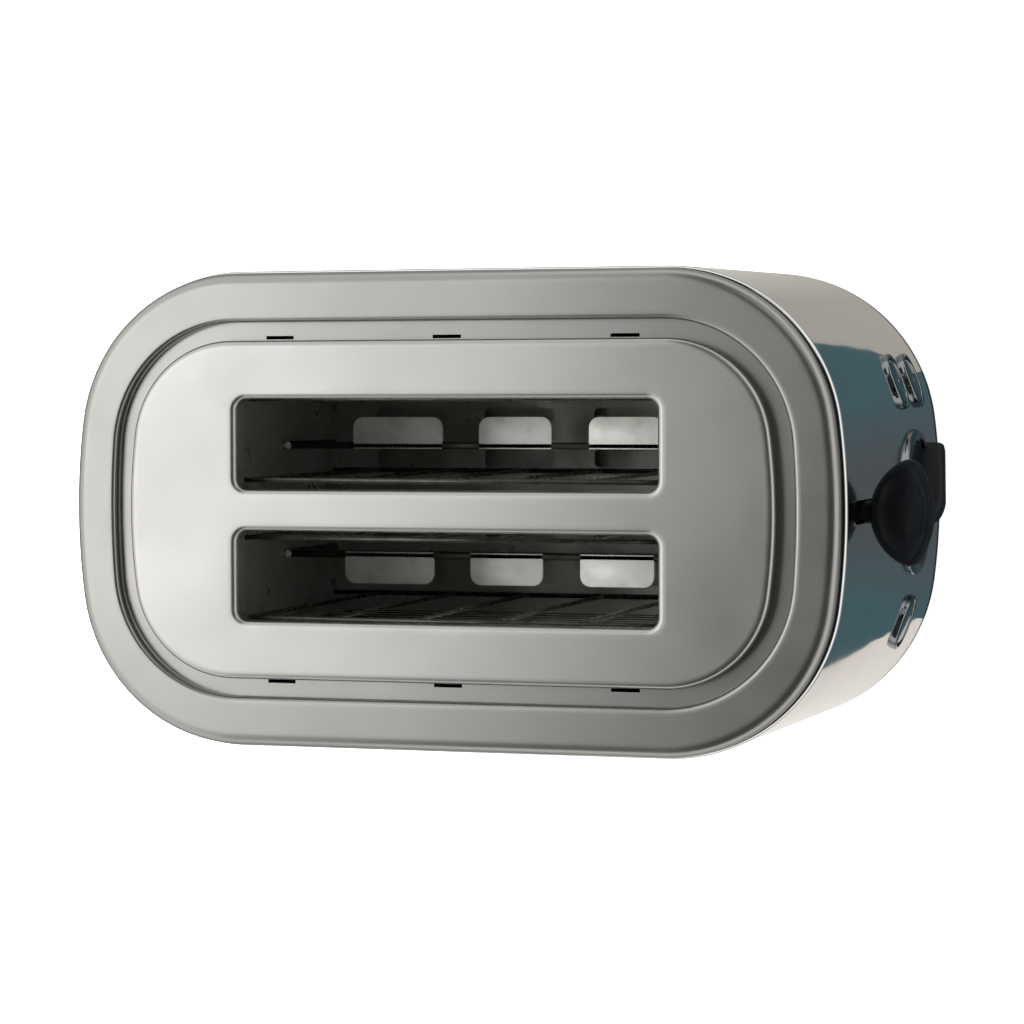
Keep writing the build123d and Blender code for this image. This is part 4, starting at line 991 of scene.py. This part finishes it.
# %% Floor
bpy.ops.object.select_all(action="DESELECT")
bpy.ops.mesh.primitive_plane_add(size=6.0, location=(0, 0, 0))
floor = bpy.context.object
floor.name = "floor"
floor_paint = new_finish("floor_paint", (0.82, 0.82, 0.82), 0.0, 0.6)
tint(floor_paint, mottle(floor_paint, 0.4), (0.80, 0.80, 0.80))
floor.data.materials.append(floor_paint)

tree = floor_paint.node_tree
paint = tree.nodes["Principled BSDF"]
glow = tree.nodes.new("ShaderNodeEmission")
glow.inputs["Strength"].default_value = 0.75
both = tree.nodes.new("ShaderNodeAddShader")
tree.links.new(paint.outputs[0], both.inputs[0])
tree.links.new(glow.outputs[0], both.inputs[1])
shown = white_to_camera(tree, paint.outputs[0], both.outputs[0])
tree.links.new(shown, tree.nodes["Material Output"].inputs["Surface"])
print("floor laid")

# %% World
world = bpy.data.worlds.new("studio")
bpy.context.scene.world = world
world.use_nodes = True
room = world.node_tree
soft_light = room.nodes["Background"]
soft_light.inputs["Color"].default_value = (1, 1, 1, 1)
soft_light.inputs["Strength"].default_value = 0.8
white = room.nodes.new("ShaderNodeBackground")
white.inputs["Color"].default_value = (1, 1, 1, 1)
white.inputs["Strength"].default_value = 1.0
shown = white_to_camera(room, soft_light.outputs[0], white.outputs[0])
room.links.new(shown, room.nodes["World Output"].inputs["Surface"])
print("world white")

# %% [markdown]
# ## The lamps
# Four soft boxes light the toaster. The key lamp shows only as a broad sheen on the lid, and brightens it
# towards the far end. The slot lamp and the chamber lamp show in no reflection and light only dull surfaces, down
# in the slots, where the photograph's shelves shine. The fill lamp is weak and comes from the controls' side.

# %% Lamps
middle = Vector((0, 0, 0.1))


def soft_box(name, place, size, watts):
    """A square area lamp at a place, turned towards the toaster's middle."""
    lamp = bpy.data.lights.new(name, "AREA")
    lamp.size = size
    lamp.energy = watts
    box = bpy.data.objects.new(name, lamp)
    box.location = place
    box.rotation_euler = (Vector(place) - middle).to_track_quat("Z", "Y").to_euler()
    bpy.context.scene.collection.objects.link(box)
    return box


soft_box("key_lamp", (-0.8, 0.1, 1.4), 0.8, 1.7).visible_diffuse = False
soft_box("slot_lamp", (-0.92, 0.06, 1.37), 0.3, 20).visible_glossy = False
soft_box("chamber_lamp", (-0.75, 0.5, 1.3), 0.4, 26).visible_glossy = False
soft_box("fill_lamp", (0.7, 1.0, 1.2), 0.8, 1)
bpy.context.scene.view_settings.view_transform = "Standard"
print("four lamps lit")

# %% [markdown]
# ## Cards that only the metal sees
# Polished steel shows what stands round it, and in a studio that is cards. The overhead card is dark and
# darkens the lid towards the controls. The floor card is grey near the toaster and pale further off, so the walls
# show a soft grey against the white. Over it lie three smaller cards on the controls' side: a dark blue-green one
# that gives the end wall its deep reflection, a warm grey one at the back and a pale one at the front. The edge
# between them is drawn so that its reflection in the round corners falls where the photograph has it.

# %% A card
def card(name, outline, height, glow, far_glow=None, start=0.0, end=1.0, axis=0):
    """A flat card with its own glow, seen by mirror rays alone. Its outline and height are in metres from the
    casing's middle. The glow may change to a second one between two distances along an axis."""
    sheet = draw_chain(name, [((casing_x + x) / mm, y / mm, height / mm) for x, y in outline])
    bpy.ops.mesh.edge_face_add()
    bpy.ops.object.mode_set(mode="OBJECT")
    apply_all(sheet)
    paint = bpy.data.materials.new(name)
    paint.use_nodes = True
    nodes, links = paint.node_tree.nodes, paint.node_tree.links
    light = nodes.new("ShaderNodeEmission")
    light.inputs["Color"].default_value = (*glow, 1)
    if far_glow:
        place = nodes.new("ShaderNodeTexCoord")
        split = nodes.new("ShaderNodeSeparateXYZ")
        links.new(place.outputs["Object"], split.inputs[0])
        distance = nodes.new("ShaderNodeMath")
        distance.operation = "ABSOLUTE"
        links.new(split.outputs[axis], distance.inputs[0])
        blend = nodes.new("ShaderNodeMix")
        blend.data_type = "RGBA"
        blend.inputs["A"].default_value = (*glow, 1)
        blend.inputs["B"].default_value = (*far_glow, 1)
        links.new(between(paint, distance.outputs[0], 0, 1, start, end), blend.inputs["Factor"])
        links.new(blend.outputs["Result"], light.inputs["Color"])
    links.new(light.outputs[0], nodes["Material Output"].inputs["Surface"])
    sheet.data.materials.append(paint)
    sheet.visible_camera = False
    sheet.visible_diffuse = False
    sheet.visible_shadow = False
    sheet.visible_transmission = False


print("card lays a glowing sheet")

# %% Five cards
card("overhead_card", ((-1.61, -4.0), (-0.22, 0.5), (-0.85, 4.0), (2.0, 4.0), (2.0, -4.0)), 1.6,
     (0.055, 0.064, 0.056))
card("floor_card", ((-2.5, -2.5), (2.5, -2.5), (2.5, 2.5), (-2.5, 2.5)), 0.0001, (0.30, 0.30, 0.29),
     (0.78, 0.78, 0.77), 0.08, 1.0, axis=1)
front_edge = ((0.175, -0.160), (0.1455, -0.083), (0.144, -0.073), (0.1435, -0.070), (0.1415, -0.065),
              (0.1405, -0.062), (0.1385, -0.059), (0.1365, -0.049), (0.11, -0.030))
back_edge = ((0.11, 0.035), (0.1365, 0.0505), (0.1385, 0.068), (0.1395, 0.075), (0.1425, 0.082),
             (0.1455, 0.088), (0.180, 0.160))
card("end_card", front_edge + back_edge + ((0.31, 0.16), (0.31, -0.16)), 0.0005, (0.075, 0.083, 0.089),
     (0.056, 0.106, 0.122), 0.015, 0.05, axis=1)
card("back_card", back_edge + ((-0.01, 0.20), (-0.01, 0.035)), 0.0004, (0.62, 0.60, 0.57),
     (0.38, 0.36, 0.33), 0.03, 0.10)
card("front_card", front_edge + ((-0.01, -0.035), (-0.01, -0.20), (0.175, -0.20)), 0.0003, (0.95, 0.93, 0.90),
     (0.66, 0.62, 0.57), 0.05, 0.14)
print("five cards laid")
